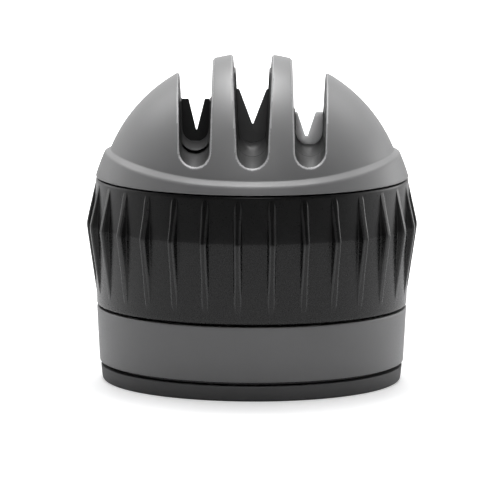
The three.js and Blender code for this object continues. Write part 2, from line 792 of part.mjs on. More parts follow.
// Sharpening plate: a tongue in the holder's pocket with a V notch, which has a narrow flat bottom.
function sharpeningPlate(stage, side) {
  const inner = stage.half - snugGap - cheekThickness - snugGap;
  const bottom = channelFloor + stage.pocket + snugGap;
  const top = channelFloor + stage.plateTop;
  const slope = Math.tan(THREE.MathUtils.degToRad(stage.angle));
  const apex = channelFloor + stage.apex;
  const floor = channelFloor + stage.notchFloor;
  const mouth = top + overrun;
  const flank = (height, way) => [stage.offset + way * slope * (height - apex), height];
  const notch = [flank(floor, 1), flank(floor, -1), flank(mouth, -1), flank(mouth, 1)];
  const front = side < 0 ? -plateThickness - snugGap : snugGap;
  const back = front + plateThickness;
  const plate = carried(tongue(inner, bottom, top, stage.draft).reverse(), front, back);
  return plate.subtract(carried(notch, front - overrun, back + overrun)).translate([stage.x, 0, 0]);
}

// Insert retainer: the plate that holds the three feet up against the channel floors.
function insertRetainer() {
  const [x, y] = [footEnd + retainerOverhang, retainerWidth / 2];
  const shape = new THREE.Shape();
  shape.moveTo(-x + retainerCorner, -y);
  shape.absarc(x - retainerCorner, -y + retainerCorner, retainerCorner, -Math.PI / 2, 0);
  shape.absarc(x - retainerCorner, y - retainerCorner, retainerCorner, 0, Math.PI / 2);
  shape.absarc(-x + retainerCorner, y - retainerCorner, retainerCorner, Math.PI / 2, Math.PI);
  shape.absarc(-x + retainerCorner, -y + retainerCorner, retainerCorner, Math.PI, 1.5 * Math.PI);
  let plate = raised(shape, retainerBottom, retainerTop);
  for (const side of [-1, 1]) {
    const hole = bar(screwBore, retainerBottom - overrun, retainerTop + overrun);
    plate = plate.subtract(hole.translate([side * retainerBossOffset, 0, 0]));
  }
  return plate;
}

// Deck plate: it closes the column, holds the grip ring down, and carries the housing.
function deckPlate() {
  let plate = turnedRing([
    [deckHole, deckBottom], [deckRadius, deckBottom], [deckRadius, deckTop], [deckHole, deckTop],
  ]);
  for (const [x, y] of deckBossPlaces()) {
    const hole = bar(screwBore, deckBottom - overrun, deckTop + overrun);
    const recess = bar(screwHeadRadius + seatGap, deckBottom - overrun, deckBottom + counterbore);
    plate = plate.subtract(hole.add(recess).translate([x, y, 0]));
  }
  for (const angle of anglesOf(pinCount, columnBossAngle)) {
    const hole = bar(screwBore, deckBottom - overrun, deckTop + overrun);
    plate = plate.subtract(hole.translate([...polar(columnBossCircleRadius, angle), 0]));
  }
  return plate;
}

// Lift carrier: a disc that slides in the column, hollowed from below between its three pins.
function liftCarrier() {
  let body = turnedRing([
    [stemBore, carrierBottom], [carrierRadius, carrierBottom],
    [carrierRadius, carrierTop], [stemBore, carrierTop],
  ]);
  const share = 360 / pinCount;
  const from = THREE.MathUtils.degToRad(pocketTurn);
  const to = THREE.MathUtils.degToRad(share - pocketTurn);
  const shape = new THREE.Shape();
  shape.absarc(0, 0, carrierRadius - carrierRim, from, to, false);
  shape.absarc(0, 0, carrierHub, to, from, true);
  const pocket = raised(shape, carrierBottom - overrun, carrierTop - carrierSkin);
  const bore = pinBar(pinRadius + seatGap, pinInnerEnd - seatGap, columnInnerRadius);
  for (const angle of anglesOf(pinCount, pinAngle)) {
    body = body.subtract(spun(pocket, angle)).subtract(spun(bore, angle));
  }
  return body;
}

// A round bar along X at the height of the cam pins.
function pinBar(radius, inner, outer) {
  const along = new THREE.CylinderGeometry(radius, radius, outer - inner, smallSteps);
  return solid(along.rotateZ(-Math.PI / 2).translate((inner + outer) / 2, 0, pinRestHeight));
}

// Cam pin: from the carrier, through the column's slot, to the outside of the sleeve's slot.
function camPin(angle) {
  return spun(pinBar(pinRadius, pinInnerEnd, sleeveRadius - seatGap), angle);
}

// Stem: a stud moulded into the pad's hub, with a collar under the carrier.
function stem() {
  const top = carrierTop + stemTopRise;
  const collarTop = carrierBottom - seatGap;
  return turned([
    [0, stemHeadBottom],
    [stemHeadRadius, stemHeadBottom],
    [stemHeadRadius, stemHeadBottom + stemHeadThickness],
    [stemRadius, stemHeadBottom + stemHeadThickness],
    [stemRadius, collarTop - stemCollarThickness],
    [stemHeadRadius, collarTop - stemCollarThickness],
    [stemHeadRadius, collarTop],
    [stemRadius, collarTop],
    [stemRadius, top - stemChamfer],
    [stemRadius - stemChamfer, top],
    [0, top],
  ], smallSteps);
}

function stemWasher() {
  const bottom = carrierTop + seatGap;
  const top = bottom + washerThickness;
  const section = [[stemBore, bottom], [washerRadius, bottom], [washerRadius, top], [stemBore, top]];
  return turnedRing(section, smallSteps);
}

function stemNut() {
  const bottom = carrierTop + 2 * seatGap + washerThickness;
  const top = bottom + nutHeight;
  const hexagon = turned([[0, bottom], [nutRadius, bottom], [nutRadius, top], [0, top]], nutSides);
  return hexagon.subtract(bar(stemBore, bottom - overrun, top + overrun, smallSteps));
}

// The centre line of the return spring: a helix between the carrier and the deck.
class Helix extends THREE.Curve {
  getPoint(share) {
    const bottom = carrierTop + seatGap + wireRadius;
    const top = deckBottom - seatGap - wireRadius;
    const [x, y] = polar(springRadius, 360 * springTurns * share);
    return new THREE.Vector3(x, y, bottom + (top - bottom) * share);
  }
}

function returnSpring() {
  const wire = new THREE.Shape();
  wire.absarc(0, 0, wireRadius, 0, 2 * Math.PI);
  const steps = springTurns * springSteps;
  const options = { steps, extrudePath: new Helix(), bevelEnabled: false, curveSegments: wireSides };
  return solid(new THREE.ExtrudeGeometry(wire, options));
}

// Screw: a round head, a shank and a point, with the shank leaving the head upwards.
function screw() {
  return turned([
    [0, -screwHeadHeight],
    [screwHeadRadius * screwHeadFlatShare, -screwHeadHeight],
    [screwHeadRadius, -screwHeadHeight / 2],
    [screwHeadRadius, 0],
    [screwRadius, 0],
    [screwRadius, screwLength - screwTip],
    [0, screwLength],
  ], screwSteps);
}

const part = new THREE.Group();

function place(name, body, finish) {
  const mesh = new THREE.Mesh(surface(body), new THREE.MeshStandardMaterial(finishes[finish]));
  mesh.name = name;
  part.add(mesh);
}

// Screws that are driven upwards, numbered round the axis.
function placeScrews(name, places, seat) {
  places.forEach(([x, y], i) => place(`${name}_${i + 1}`, screw().translate([x, y, seat]), 'steel'));
}

place('dome_housing', domeHousing(), 'greyPlastic');
const holderKinds = { coarse: 'blackPlastic', medium: 'greyPlastic', fine: 'greyPlastic' };
const plateKinds = { coarse: 'carbide', medium: 'diamond', fine: 'ceramic' };
for (const stage of stages) {
  place(`${stage.name}_holder`, insertHolder(stage), holderKinds[stage.name]);
  place(`${stage.name}_plate_front`, sharpeningPlate(stage, -1), plateKinds[stage.name]);
  place(`${stage.name}_plate_rear`, sharpeningPlate(stage, 1), plateKinds[stage.name]);
}
place('insert_retainer', insertRetainer(), 'innerPlastic');
place('deck_plate', deckPlate(), 'innerPlastic');
place('chassis', chassis(), 'blackPlastic');
place('base_band', baseBand(), 'bandPlastic');
place('suction_pad', suctionPad(), 'rubber');
place('grip_ring', gripRing(), 'blackPlastic');
place('cam_sleeve', camSleeve(), 'acetal');
place('lift_carrier', liftCarrier(), 'acetal');
anglesOf(pinCount, pinAngle).forEach((angle, i) => place(`cam_pin_${i + 1}`, camPin(angle), 'steel'));
place('stem', stem(), 'steel');
place('stem_washer', stemWasher(), 'steel');
place('stem_nut', stemNut(), 'steel');
place('return_spring', returnSpring(), 'steel');

const columnPlaces = anglesOf(pinCount, columnBossAngle)
  .map((angle) => polar(columnBossCircleRadius, angle));
columnPlaces.forEach(([x, y], i) => {
  const driven = screw().rotate([180, 0, 0]).translate([x, y, deckTop + seatGap]);
  place(`column_screw_${i + 1}`, driven, 'steel');
});
const basePlaces = anglesOf(pinCount, baseScrewAngle).map((angle) => polar(baseScrewCircleRadius, angle));
placeScrews('base_screw', basePlaces, flangeBottom + counterbore - seatGap);
placeScrews('deck_screw', deckBossPlaces(), deckBottom + counterbore - seatGap);
const retainerPlaces = [[-retainerBossOffset, 0], [retainerBossOffset, 0]];
placeScrews('retainer_screw', retainerPlaces, retainerBottom - seatGap);

export default part;
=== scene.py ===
import json
import math

import bmesh
import bpy
import numpy as np
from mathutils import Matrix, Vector


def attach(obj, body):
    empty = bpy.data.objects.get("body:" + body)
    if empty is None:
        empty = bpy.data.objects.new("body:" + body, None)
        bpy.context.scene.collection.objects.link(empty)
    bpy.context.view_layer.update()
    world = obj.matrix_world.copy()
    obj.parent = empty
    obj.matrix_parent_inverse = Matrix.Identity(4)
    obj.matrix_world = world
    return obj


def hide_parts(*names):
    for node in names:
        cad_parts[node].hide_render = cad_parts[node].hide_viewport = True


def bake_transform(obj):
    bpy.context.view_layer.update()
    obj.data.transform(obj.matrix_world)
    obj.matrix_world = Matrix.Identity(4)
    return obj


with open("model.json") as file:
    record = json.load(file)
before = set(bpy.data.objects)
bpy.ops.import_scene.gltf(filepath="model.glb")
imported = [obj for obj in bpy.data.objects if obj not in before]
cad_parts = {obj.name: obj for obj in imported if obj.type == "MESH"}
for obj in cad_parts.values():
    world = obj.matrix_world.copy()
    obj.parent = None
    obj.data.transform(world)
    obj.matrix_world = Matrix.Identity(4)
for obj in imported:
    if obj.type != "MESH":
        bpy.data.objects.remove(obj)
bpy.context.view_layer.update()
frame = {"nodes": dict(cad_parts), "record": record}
nodes = frame["nodes"]

MM = 0.001
FULL_TURN = 360
QUARTER_TURN = 90
TINY = 1e-9

# Camera: its distance from the point that it looks at, its degrees over the horizon and its lens.
CAMERA_DISTANCE = 1.4
CAMERA_ELEVATION = 7.95
CAMERA_ROLL = 0.209
CAMERA_LENS = 417.1
CAMERA_SENSOR = 36
CAMERA_SHIFT = -0.0039
CAMERA_REACH = 50
TARGET_HEIGHT = 33.9 * MM

# Lamps: name, place, height of the point aimed at on the object's axis, width and height, power in watts.
LAMPS = (
    ("high", (0, 0.1, 1.2), 0.05, (0.6, 0.5), 6.0),
    ("high_back", (0, 0.45, 1.1), 0.05, (0.5, 0.4), 9.5),
    ("high_left", (-0.6, 0.55, 0.75), 0.05, (0.4, 0.4), 1.7),
    ("high_right", (0.6, 0.55, 0.75), 0.05, (0.4, 0.4), 1.3),
    ("front", (0, -1.0, 1.0), 0.05, (0.5, 0.5), 3.6),
    ("left_rear", (-0.9, 0.6, 0.12), 0.03, (0.5, 0.4), 0.6),
    ("right_rear", (0.9, 0.6, 0.12), 0.03, (0.5, 0.4), 1.8),
    ("right", (1.0, 0.1, 0.25), 0.04, (0.7, 0.5), 0.6),
)

# Floor: its reach behind and beside the object and in front of it, and how its glow grows with distance.
FLOOR_REACH = 4.0
FLOOR_FRONT = 0.45
FLOOR_DROP = 0.05 * MM
FLOOR_DARK = 0.72
FLOOR_LIGHT = 0.76
FLOOR_PATCHES = 30
FLOOR_GLOW = 0.47
GLOW_START = 0.06
GLOW_END = 0.4

# Surroundings: their light on plain surfaces, and what glossy ones reflect from dark front to light back.
WHITE = (1, 1, 1, 1)
BACKDROP_LEVEL = 1.0
FILL_LEVEL = 0.05
FRONT_LEVEL = 0.03
BACK_LEVEL = 1.0
FRONT_END = -0.45
BACK_START = 0.3

# Materials: what they share, from the tint of the greys to the noise in patches and grain.
BLUE_TINT = 1.01
NOISE_START = 0.3
NOISE_END = 0.7
NOISE_DETAIL = 3.0
NOISE_ROUGHNESS = 0.5
PATCH_SCALE = 70
PATCH_DETAIL = 4
PATCH_SHARE = 0.65
GRAIN_ROUGHNESS = 0.6
GRAIN_SHARE = 0.35
BUMP_STRENGTH = 0.6
PLAIN_SPECULAR = 0.5
GLOW_DEPTH = 2 * MM

# All lengths from here on are in millimetres. First the rounded edges, and the angles of sharp ones.
LEAST_EDGE = 0.01
FINE_EDGE = 0.1
SMALL_EDGE = 0.2
EDGE = 0.3
WIDE_EDGE = 0.4
ROUND_EDGE = 0.5
CORNER_STEPS = 4
CORNER_SHARE = 0.48
LEAST_CORNER = 1e-4
EDGE_TURNS = (0, 30, 60, 90)
MERGE_GAP = 1e-7
TURNED_SHARP = 40
LOFTED_SHARP = 32
RING_SHARP = 60
WIRE_SHARP = 50

# Suction pad: its rim, the bead on it, the thin skin inside and the hub with the stem's pocket.
PAD_RADIUS = 36.0
PAD_TOP_RADIUS = 36.45
PAD_HEIGHT = 3.75
PAD_LIP_WIDTH = 5.2
PAD_FOOT_EDGE = 0.8
PAD_DISH = 1.2
PAD_SKIN = 1.8
BEAD_OUTER = 33
BEAD_INNER = 31
BEAD_TOP = 5.55
SHOULDER_RADIUS = 29
RIM_STEP_RADIUS = 27.6
RIM_STEP_TOP = 2.3
RIM_STEP_BOTTOM = 0.3
SKIN_RADIUS = 27.5
SKIN_TOP = 2.1
SKIN_BOTTOM = 0.35
HUB_RADIUS = 8.0
HUB_TOP = 7.5
HUB_GAP = 0.3
STEM_HOLE = 3.3
POCKET_RADIUS = 5.3
POCKET_TOP = 4.8
POCKET_FLOOR = 2.7
PAD_STEPS = 240
SKIN_STEPS = 96
HUB_STEPS = 64

# Base band: its wall, the floor in it, the land that the cam sleeve turns on and its screw bosses.
BAND_BOTTOM = 4.7
BAND_TOP = 17.95
BAND_RADIUS = 37.42
BAND_DRAFT = 0.7
BAND_INNER = 35.22
BAND_FOOT_EDGE = 0.25
BAND_FLOOR_TOP = 9.35
BAND_FLOOR_BOTTOM = 7.35
BAND_HOLE = 22.5
LAND_OUTER = 25.6
LAND_INNER = 23.6
LAND_TOP = 18.15
BAND_STEPS = 240
BAND_BOSS_COUNT = 3
BAND_BOSS_CIRCLE = 26
BAND_BOSS_TURN = 30
BAND_BOSS_RADIUS = 3.2
BAND_BOSS_FOOT = 9.3
BAND_BOSS_TOP = 15.85
BAND_BOSS_STEPS = 32
BORE = 1.5

# Grip ring: its wall swells to a waist, and each rib has a crest at the same height.
RING_BOTTOM = 18.55
RING_TOP = 49.0
RING_TOP_RADIUS = 37.65
RING_FOOT_RADIUS = 37.4
RING_INNER = 35.0
RING_EDGE = 0.3
RING_FOOT_BEVEL = 0.09
RING_TOP_BEVELS = ((0.03, 0.16), (0.12, 0.05), (RING_EDGE, 0))
WAIST_RADIUS = 38.2
WAIST_SOFTNESS = 0.06
CREST_SOFTNESS = 0.25
RIB_COUNT = 30
RIB_TURN = -5.0
RIB_HALF = 1.05
RIB_TOP_HALF = 0.72
RIB_CREST_RADIUS = 40.0
RIB_FOOT_RISE = 2.0
RIB_CREST_RISE = 19.3
RIB_HEAD_DROP = 0.7
RIB_FOOT = RING_BOTTOM + RIB_FOOT_RISE
RIB_CREST = RING_BOTTOM + RIB_CREST_RISE
RIB_HEAD = RING_TOP - RIB_HEAD_DROP
RIB_APRON = 0.5
RIB_NARROWING = 0.45
RIB_NARROW_HEIGHT = 0.12
RIB_TOP_ROUND = 0.4
RIB_TOP_ROUND_SHARE = 0.45
RIB_FOOT_ROUND = 0.25
RIB_FOOT_ROUND_SHARE = 0.4
RIB_CORNER_STEPS = 5
WALL_SHARES = (0.25, 0.5, 0.75)

# Heights over the ring's bottom, close together where the ribs start, at their crests and where they end.
RING_RISES = (
    0.3, 1.0, 1.7, 1.95, 2.1, 2.35, 2.7, 3.2, 4.0, 5.0, 6.2, 7.6, 9.0, 10.5, 12.0, 13.5, 15.0, 16.5,
    17.6, 18.3, 18.8, 19.05, 19.3, 19.55, 19.8, 20.3, 21.0, 22.0, 23.2, 24.4, 25.6, 26.8, 27.8, 28.5,
    29.0, 29.3, 29.5, 29.75, 30.0,
)

# The faces on a rib's two rounded edges, counted along one pitch of the wall. They get a lighter black, a
# painted highlight.
RIB_HIGHLIGHT_EDGES = (16, 17, 18, 19, 20, 22, 23, 24, 25, 26)

# Dome housing: the rim, the leaning collar, the ledge that sweeps up at both sides and the dome.
RIM_BOTTOM = 49.4
RIM_RADIUS = 37.74
RIM_INNER = 35.3
RIM_DEPTH = 1.5
RIM_EDGE = 0.2
COLLAR_LEAN = 0.3
COLLAR_BULGE = 42.0
COLLAR_EDGE = 0.22
WALL_SHARE = 0.95
LEDGE_RISE = 1.8
LEDGE_SWEEP = 4.2
LEDGE_POWER = 2.5
LEDGE_HEIGHT = 1.3
LEDGE_FADE = 0.75
LEDGE_FADE_POWER = 6
LEDGE_JOIN = 0.1
DOME_RADIUS = 37.0
DOME_CENTRE = 41.85
DOME_WALL = 2.2

# Channels in the dome, their rounded lips, and the windows in their floors for the holders' shanks.
STAGE_PITCH = 13.68
CHANNEL_FLOOR = 55.35
CORE_THICKNESS = 2.0
CEILING = CHANNEL_FLOOR - CORE_THICKNESS
CORE_BESIDE = 6.2
LIP = 0.68
# Faces closer than LIP_INNER to a channel's outline get a darker grey, a painted shade.
LIP_INNER = 0.05
# Faces from there out to LIP_OUTER, and no lower than LIP_BELOW under the channel floor, get a lighter grey,
# a painted highlight.
LIP_OUTER = 0.42
LIP_BELOW = 1
SHANK_HALF = 2.6
SHANK_LENGTH = 6.0
WINDOW_GAP = 0.3
WINDOW_BELOW = 1
WINDOW_ABOVE = 3.5

# Bosses in the housing: for the deck's four screws and for the retainer's two.
DECK_TOP = 46.3
DECK_BOSS_CIRCLE = 27.0
DECK_BOSS_TURN = math.radians(35.0)
DECK_BOSS_RADIUS = 3.4
RETAINER_BOSS_AT = 22.5
RETAINER_BOSS_RADIUS = 3.0
RETAINER_TOP = 51.05
BOSS_GAP = 0.3
BOSS_SINK = 1.0
HOLE_DEPTH = 10
BOSSES = (
    (DECK_BOSS_CIRCLE * math.cos(DECK_BOSS_TURN), DECK_BOSS_CIRCLE * math.sin(DECK_BOSS_TURN),
     DECK_BOSS_RADIUS, DECK_TOP + BOSS_GAP),
    (RETAINER_BOSS_AT, 0, RETAINER_BOSS_RADIUS, RETAINER_TOP + BOSS_GAP),
)

# The net over the housing: its corners, its step and how its points settle on the skin.
NET_HIGH = (38.5, 38.5, 79.4)
NET_LOW = 45.9
NET_STEP = 0.3
NET_HALVINGS = 8
NET_PULL = 0.08
NET_MOVE = 0.7
CROSSING_SLOPE_STEP = 0.03
POINT_SLOPE_STEP = 0.05
SUM_PAIRS = [(i, j) for i in range(3) for j in range(i, 3)]
SUM_SPLITS = (6, 9, 12)
SUM_COLUMNS = 13

# Holders and plates.
HOLDER_GAP = 0.02
HOLDER_ROWS = 12
LEAST_SCOOP_SHARE = 0.03
SHANK_OVERLAP = 0.5
POCKET_OVERLAP = 0.2
FOOT_HALF = 4.2
FOOT_LENGTH = 10.0
FOOT_BOTTOM = 51.35
FOOT_TOP = 53.05
TONGUE_STEPS = 20
PLATE_THICKNESS = 2.6
PLATE_LEAN = 0.176
PLATE_GAP = 0.01
PLATE_EDGE = 0.06
PLATE_CORNER = 0.25
PLATE_CORNER_STEPS = 6
PLATE_LAND = 0.2
PLATE_PARTING = 0.15

# Each stage's channel (x, half, draft), its holder (raised, pocket, upright, cheek, scoop, reach), and its
# plates with their notch (top, apex, angle, offset, flat, round). Heights are over the channel's floor.
COARSE = dict(x=-STAGE_PITCH, half=3.56, draft=0.03, raised=0.75, pocket=2.6, upright=12.5, top=12.97,
              apex=5.06, angle=13.8, offset=0.27, cheek=0.35, flat=0.115, round=0.3, scoop=2.3, reach=3.5)
MEDIUM = dict(x=0.0, half=3.63, draft=0.0565, raised=0.0, pocket=2.35, upright=19.6, top=15.4,
              apex=6.66, angle=20.7, offset=0.09, cheek=0.35, flat=0.125, round=0.4, scoop=7.0, reach=4.5)
FINE = dict(x=STAGE_PITCH, half=3.56, draft=0.03, raised=0.0, pocket=1.85, upright=9.9, top=9.92,
            apex=3.27, angle=18.5, offset=-0.68, cheek=0.35, flat=0.265, round=0.35, scoop=7.0, reach=3.5)
STAGES = (COARSE, MEDIUM, FINE)

# Return spring, at rest, with the steps in each of its turns.
SPRING_TURNS = 3
SPRING_BOTTOM = 32.4
SPRING_TOP = 42.2
SPRING_RADIUS = 13.4
SPRING_STEPS = 32
WIRE_RADIUS = 0.6
WIRE_SIDES = 12


# Camera, lamps and surroundings

def add_camera():
    data = bpy.data.cameras.new("camera")
    data.lens = CAMERA_LENS
    data.sensor_width = CAMERA_SENSOR
    data.shift_x = CAMERA_SHIFT
    data.clip_end = CAMERA_REACH
    camera = bpy.data.objects.new("camera", data)
    bpy.context.collection.objects.link(camera)
    tilt = math.radians(CAMERA_ELEVATION)
    target = Vector((0, 0, TARGET_HEIGHT))
    camera.location = target + CAMERA_DISTANCE * Vector((0, -math.cos(tilt), math.sin(tilt)))
    camera.rotation_euler = (target - camera.location).to_track_quat("-Z", "Y").to_euler()
    camera.rotation_euler.rotate_axis("Z", math.radians(CAMERA_ROLL))
    bpy.context.scene.camera = camera


def add_lamp(name, place, aim_height, size, power):
    data = bpy.data.lights.new(name, "AREA")
    data.shape = "RECTANGLE"
    data.size, data.size_y = size
    data.energy = power
    lamp = bpy.data.objects.new(name, data)
    bpy.context.collection.objects.link(lamp)
    lamp.location = place
    aim = Vector((0, 0, aim_height)) - Vector(place)
    lamp.rotation_euler = aim.to_track_quat("-Z", "Y").to_euler()


def add_floor():
    """A pale floor. The camera sees it grow lighter away from the object, up to the white backdrop."""
    mesh = bpy.data.meshes.new("floor")
    corners = [(-FLOOR_REACH, -FLOOR_FRONT, -FLOOR_DROP), (FLOOR_REACH, -FLOOR_FRONT, -FLOOR_DROP),
               (FLOOR_REACH, FLOOR_REACH, -FLOOR_DROP), (-FLOOR_REACH, FLOOR_REACH, -FLOOR_DROP)]
    mesh.from_pydata(corners, [], [(0, 1, 2, 3)])
    floor = bpy.data.objects.new("floor", mesh)
    bpy.context.collection.objects.link(floor)
    mesh.materials.append(floor_material())


def floor_material():
    material, tree = shader("floor")
    where = tree.nodes.new("ShaderNodeTexCoord").outputs["Object"]
    plain = tree.nodes.new("ShaderNodeBsdfDiffuse")
    shade = blended(tree, noise(tree, where, FLOOR_PATCHES), grey(FLOOR_DARK), grey(FLOOR_LIGHT))
    link(tree, shade, plain.inputs["Color"])
    away = tree.nodes.new("ShaderNodeVectorMath")
    away.operation = "LENGTH"
    link(tree, where, away.inputs[0])
    level = spread(tree, away.outputs["Value"], FLOOR_GLOW, BACKDROP_LEVEL, GLOW_START, GLOW_END)
    rays = tree.nodes.new("ShaderNodeLightPath")
    strength = calculated(tree, "MULTIPLY", rays.outputs["Is Camera Ray"], level)
    glow = tree.nodes.new("ShaderNodeEmission")
    link(tree, strength, glow.inputs["Strength"])
    total = tree.nodes.new("ShaderNodeAddShader")
    link(tree, plain.outputs[0], total.inputs[0])
    link(tree, glow.outputs[0], total.inputs[1])
    output = tree.nodes.new("ShaderNodeOutputMaterial")
    link(tree, total.outputs[0], output.inputs["Surface"])
    return material


def set_world():
    """A backdrop that is white to the camera, and that glossy surfaces see dark in front, light behind."""
    world = bpy.data.worlds.new("studio")
    world.use_nodes = True
    tree = world.node_tree
    tree.nodes.clear()
    rays = tree.nodes.new("ShaderNodeLightPath")
    where = tree.nodes.new("ShaderNodeTexCoord").outputs["Generated"]
    parts = tree.nodes.new("ShaderNodeSeparateXYZ")
    link(tree, where, parts.inputs[0])
    glossy = spread(tree, parts.outputs["Y"], FRONT_LEVEL, BACK_LEVEL, FRONT_END, BACK_START)
    unseen = chosen(tree, rays.outputs["Is Glossy Ray"])
    unseen.inputs["A"].default_value = FILL_LEVEL
    link(tree, glossy, unseen.inputs["B"])
    seen = calculated(tree, "MAXIMUM", rays.outputs["Is Camera Ray"], rays.outputs["Is Transmission Ray"])
    level = chosen(tree, seen)
    link(tree, unseen.outputs["Result"], level.inputs["A"])
    level.inputs["B"].default_value = BACKDROP_LEVEL
    back = tree.nodes.new("ShaderNodeBackground")
    back.inputs["Color"].default_value = WHITE
    link(tree, level.outputs["Result"], back.inputs["Strength"])
    output = tree.nodes.new("ShaderNodeOutputWorld")
    link(tree, back.outputs[0], output.inputs["Surface"])
    bpy.context.scene.world = world


# Materials

def shader(name):
    material = bpy.data.materials.new(name)
    material.use_nodes = True
    tree = material.node_tree
    tree.nodes.clear()
    return material, tree


def link(tree, source, target):
    tree.links.new(source, target)


def calculated(tree, operation, first, second):
    made = tree.nodes.new("ShaderNodeMath")
    made.operation = operation
    link(tree, first, made.inputs[0])
    link(tree, second, made.inputs[1])
    return made.outputs[0]


def chosen(tree, share):
    made = tree.nodes.new("ShaderNodeMix")
    made.data_type = "FLOAT"
    link(tree, share, made.inputs["Factor"])
    return made


def noise(tree, where, scale, detail=NOISE_DETAIL, roughness=NOISE_ROUGHNESS):
    made = tree.nodes.new("ShaderNodeTexNoise")
    made.inputs["Scale"].default_value = scale
    made.inputs["Detail"].default_value = detail
    made.inputs["Roughness"].default_value = roughness
    link(tree, where, made.inputs["Vector"])
    return made.outputs["Fac"]


def spread(tree, value, low, high, start=NOISE_START, end=NOISE_END):
    made = tree.nodes.new("ShaderNodeMapRange")
    made.inputs["From Min"].default_value = start
    made.inputs["From Max"].default_value = end
    made.inputs["To Min"].default_value = low
    made.inputs["To Max"].default_value = high
    link(tree, value, made.inputs["Value"])
    return made.outputs["Result"]


def blended(tree, share, dark, light):
    made = tree.nodes.new("ShaderNodeMix")
    made.data_type = "RGBA"
    made.inputs["A"].default_value = (*dark, 1)
    made.inputs["B"].default_value = (*light, 1)
    link(tree, share, made.inputs["Factor"])
    return made.outputs["Result"]


def grey(level):
    return (level, level, level * BLUE_TINT)


def uneven(tree, where, fine, colour, variation):
    """The colour, lighter and darker in slow patches and in the grain."""
    both = tree.nodes.new("ShaderNodeMath")
    both.operation = "MULTIPLY_ADD"
    link(tree, fine, both.inputs[0])
    both.inputs[1].default_value = GRAIN_SHARE
    patches = spread(tree, noise(tree, where, PATCH_SCALE, PATCH_DETAIL), 0, PATCH_SHARE)
    link(tree, patches, both.inputs[2])
    dark = [channel * (1 - variation) for channel in colour]
    light = [channel * (1 + variation) for channel in colour]
    return blended(tree, both.outputs[0], dark, light)


def relief(tree, height, depth):
    bump = tree.nodes.new("ShaderNodeBump")
    bump.inputs["Strength"].default_value = BUMP_STRENGTH
    bump.inputs["Distance"].default_value = depth * MM
    link(tree, height, bump.inputs["Height"])
    return bump.outputs["Normal"]


def moulded(name, colour, variation, roughness, grain, depth,
            metallic=0.0, specular=PLAIN_SPECULAR, glow=0.0):
    """A moulded or ground material: slow patches of shade, fine grain in the relief, uneven gloss."""
    material, tree = shader(name)
    where = tree.nodes.new("ShaderNodeTexCoord").outputs["Object"]
    surface = tree.nodes.new("ShaderNodeBsdfPrincipled")
    surface.inputs["Metallic"].default_value = metallic
    surface.inputs["Specular IOR Level"].default_value = specular
    surface.inputs["Subsurface Weight"].default_value = glow
    surface.inputs["Subsurface Radius"].default_value = (1, 1, 1)
    surface.inputs["Subsurface Scale"].default_value = GLOW_DEPTH
    fine = noise(tree, where, grain, roughness=GRAIN_ROUGHNESS)
    link(tree, uneven(tree, where, fine, colour, variation), surface.inputs["Base Color"])
    link(tree, spread(tree, fine, *roughness), surface.inputs["Roughness"])
    link(tree, relief(tree, fine, depth), surface.inputs["Normal"])
    output = tree.nodes.new("ShaderNodeOutputMaterial")
    link(tree, surface.outputs[0], output.inputs["Surface"])
    return material


# Each material's colour, its variation, its range of roughness, and its grain: scale, and depth in mm.
FINISHES = dict(
    grey_plastic=dict(colour=grey(0.195), variation=0.04, roughness=(0.38, 0.46), grain=2600, depth=0.012),
    # The next material: the housing's grey, a little glossier and much darker, for the channels' insides, a
    # painted shade.
    grey_gloss_and_painted_shade=dict(colour=grey(0.06), variation=0.04, roughness=(0.36, 0.42), grain=1500, depth=0.003),
    # The next material: the housing's grey made twice as light on the channels' lips, a painted highlight.
    grey_lip_painted_highlight=dict(colour=grey(0.4), variation=0.03, roughness=(0.4, 0.48), grain=1500, depth=0.003,
                  specular=0.4),
    band_plastic=dict(colour=grey(0.175), variation=0.05, roughness=(0.36, 0.46), grain=2200, depth=0.012),
    black_plastic=dict(colour=grey(0.008), variation=0.15, roughness=(0.24, 0.32), grain=2600, depth=0.01,
                       specular=0.4),
    # The next material: a darker, less shiny black with a coarser grain for the ring's upper half, partly a
    # grain and partly painted shade.
    black_grain_and_painted_shade=dict(colour=grey(0.005), variation=0.2, roughness=(0.26, 0.34), grain=3200, depth=0.01,
                     specular=0.32),
    # The next material: a lighter, glossier black on the ribs' rounded edges, a painted highlight.
    black_edge_painted_highlight=dict(colour=grey(0.02), variation=0.15, roughness=(0.26, 0.34), grain=2600, depth=0.006,
                    specular=0.6),
    # The next material: the housing's grey made much darker for the medium and fine holders down in the
    # channels, a painted shade.
    holder_grey_painted_shade=dict(colour=grey(0.065), variation=0.05, roughness=(0.4, 0.5), grain=2600, depth=0.006,
                     specular=0.4),
    holder_black=dict(colour=grey(0.13), variation=0.1, roughness=(0.6, 0.7), grain=2600, depth=0.02,
                      specular=0.2),
    inner_plastic=dict(colour=grey(0.04), variation=0.1, roughness=(0.5, 0.6), grain=2000, depth=0.02),
    acetal=dict(colour=(0.68, 0.66, 0.61), variation=0.03, roughness=(0.4, 0.5), grain=1500, depth=0.01),
    rubber=dict(colour=grey(0.09), variation=0.12, roughness=(0.6, 0.75), grain=2400, depth=0.03),
    carbide=dict(colour=grey(0.045), variation=0.2, roughness=(0.5, 0.6), grain=3000, depth=0.01,
                 specular=0.08),
    diamond=dict(colour=grey(0.14), variation=0.2, roughness=(0.5, 0.65), grain=3500, depth=0.02,
                 specular=0.1),
    ceramic=dict(colour=grey(0.96), variation=0.02, roughness=(0.4, 0.5), grain=2500, depth=0.008, glow=0.8),
    steel=dict(colour=grey(0.46), variation=0.06, roughness=(0.28, 0.4), grain=1800, depth=0.005,
               metallic=0.9),
)
MATERIALS = {name: moulded(name, **finish) for name, finish in FINISHES.items()}
SLOTS = {entry["node"]: entry["material_slot"] for entry in frame["record"]["subparts"]}


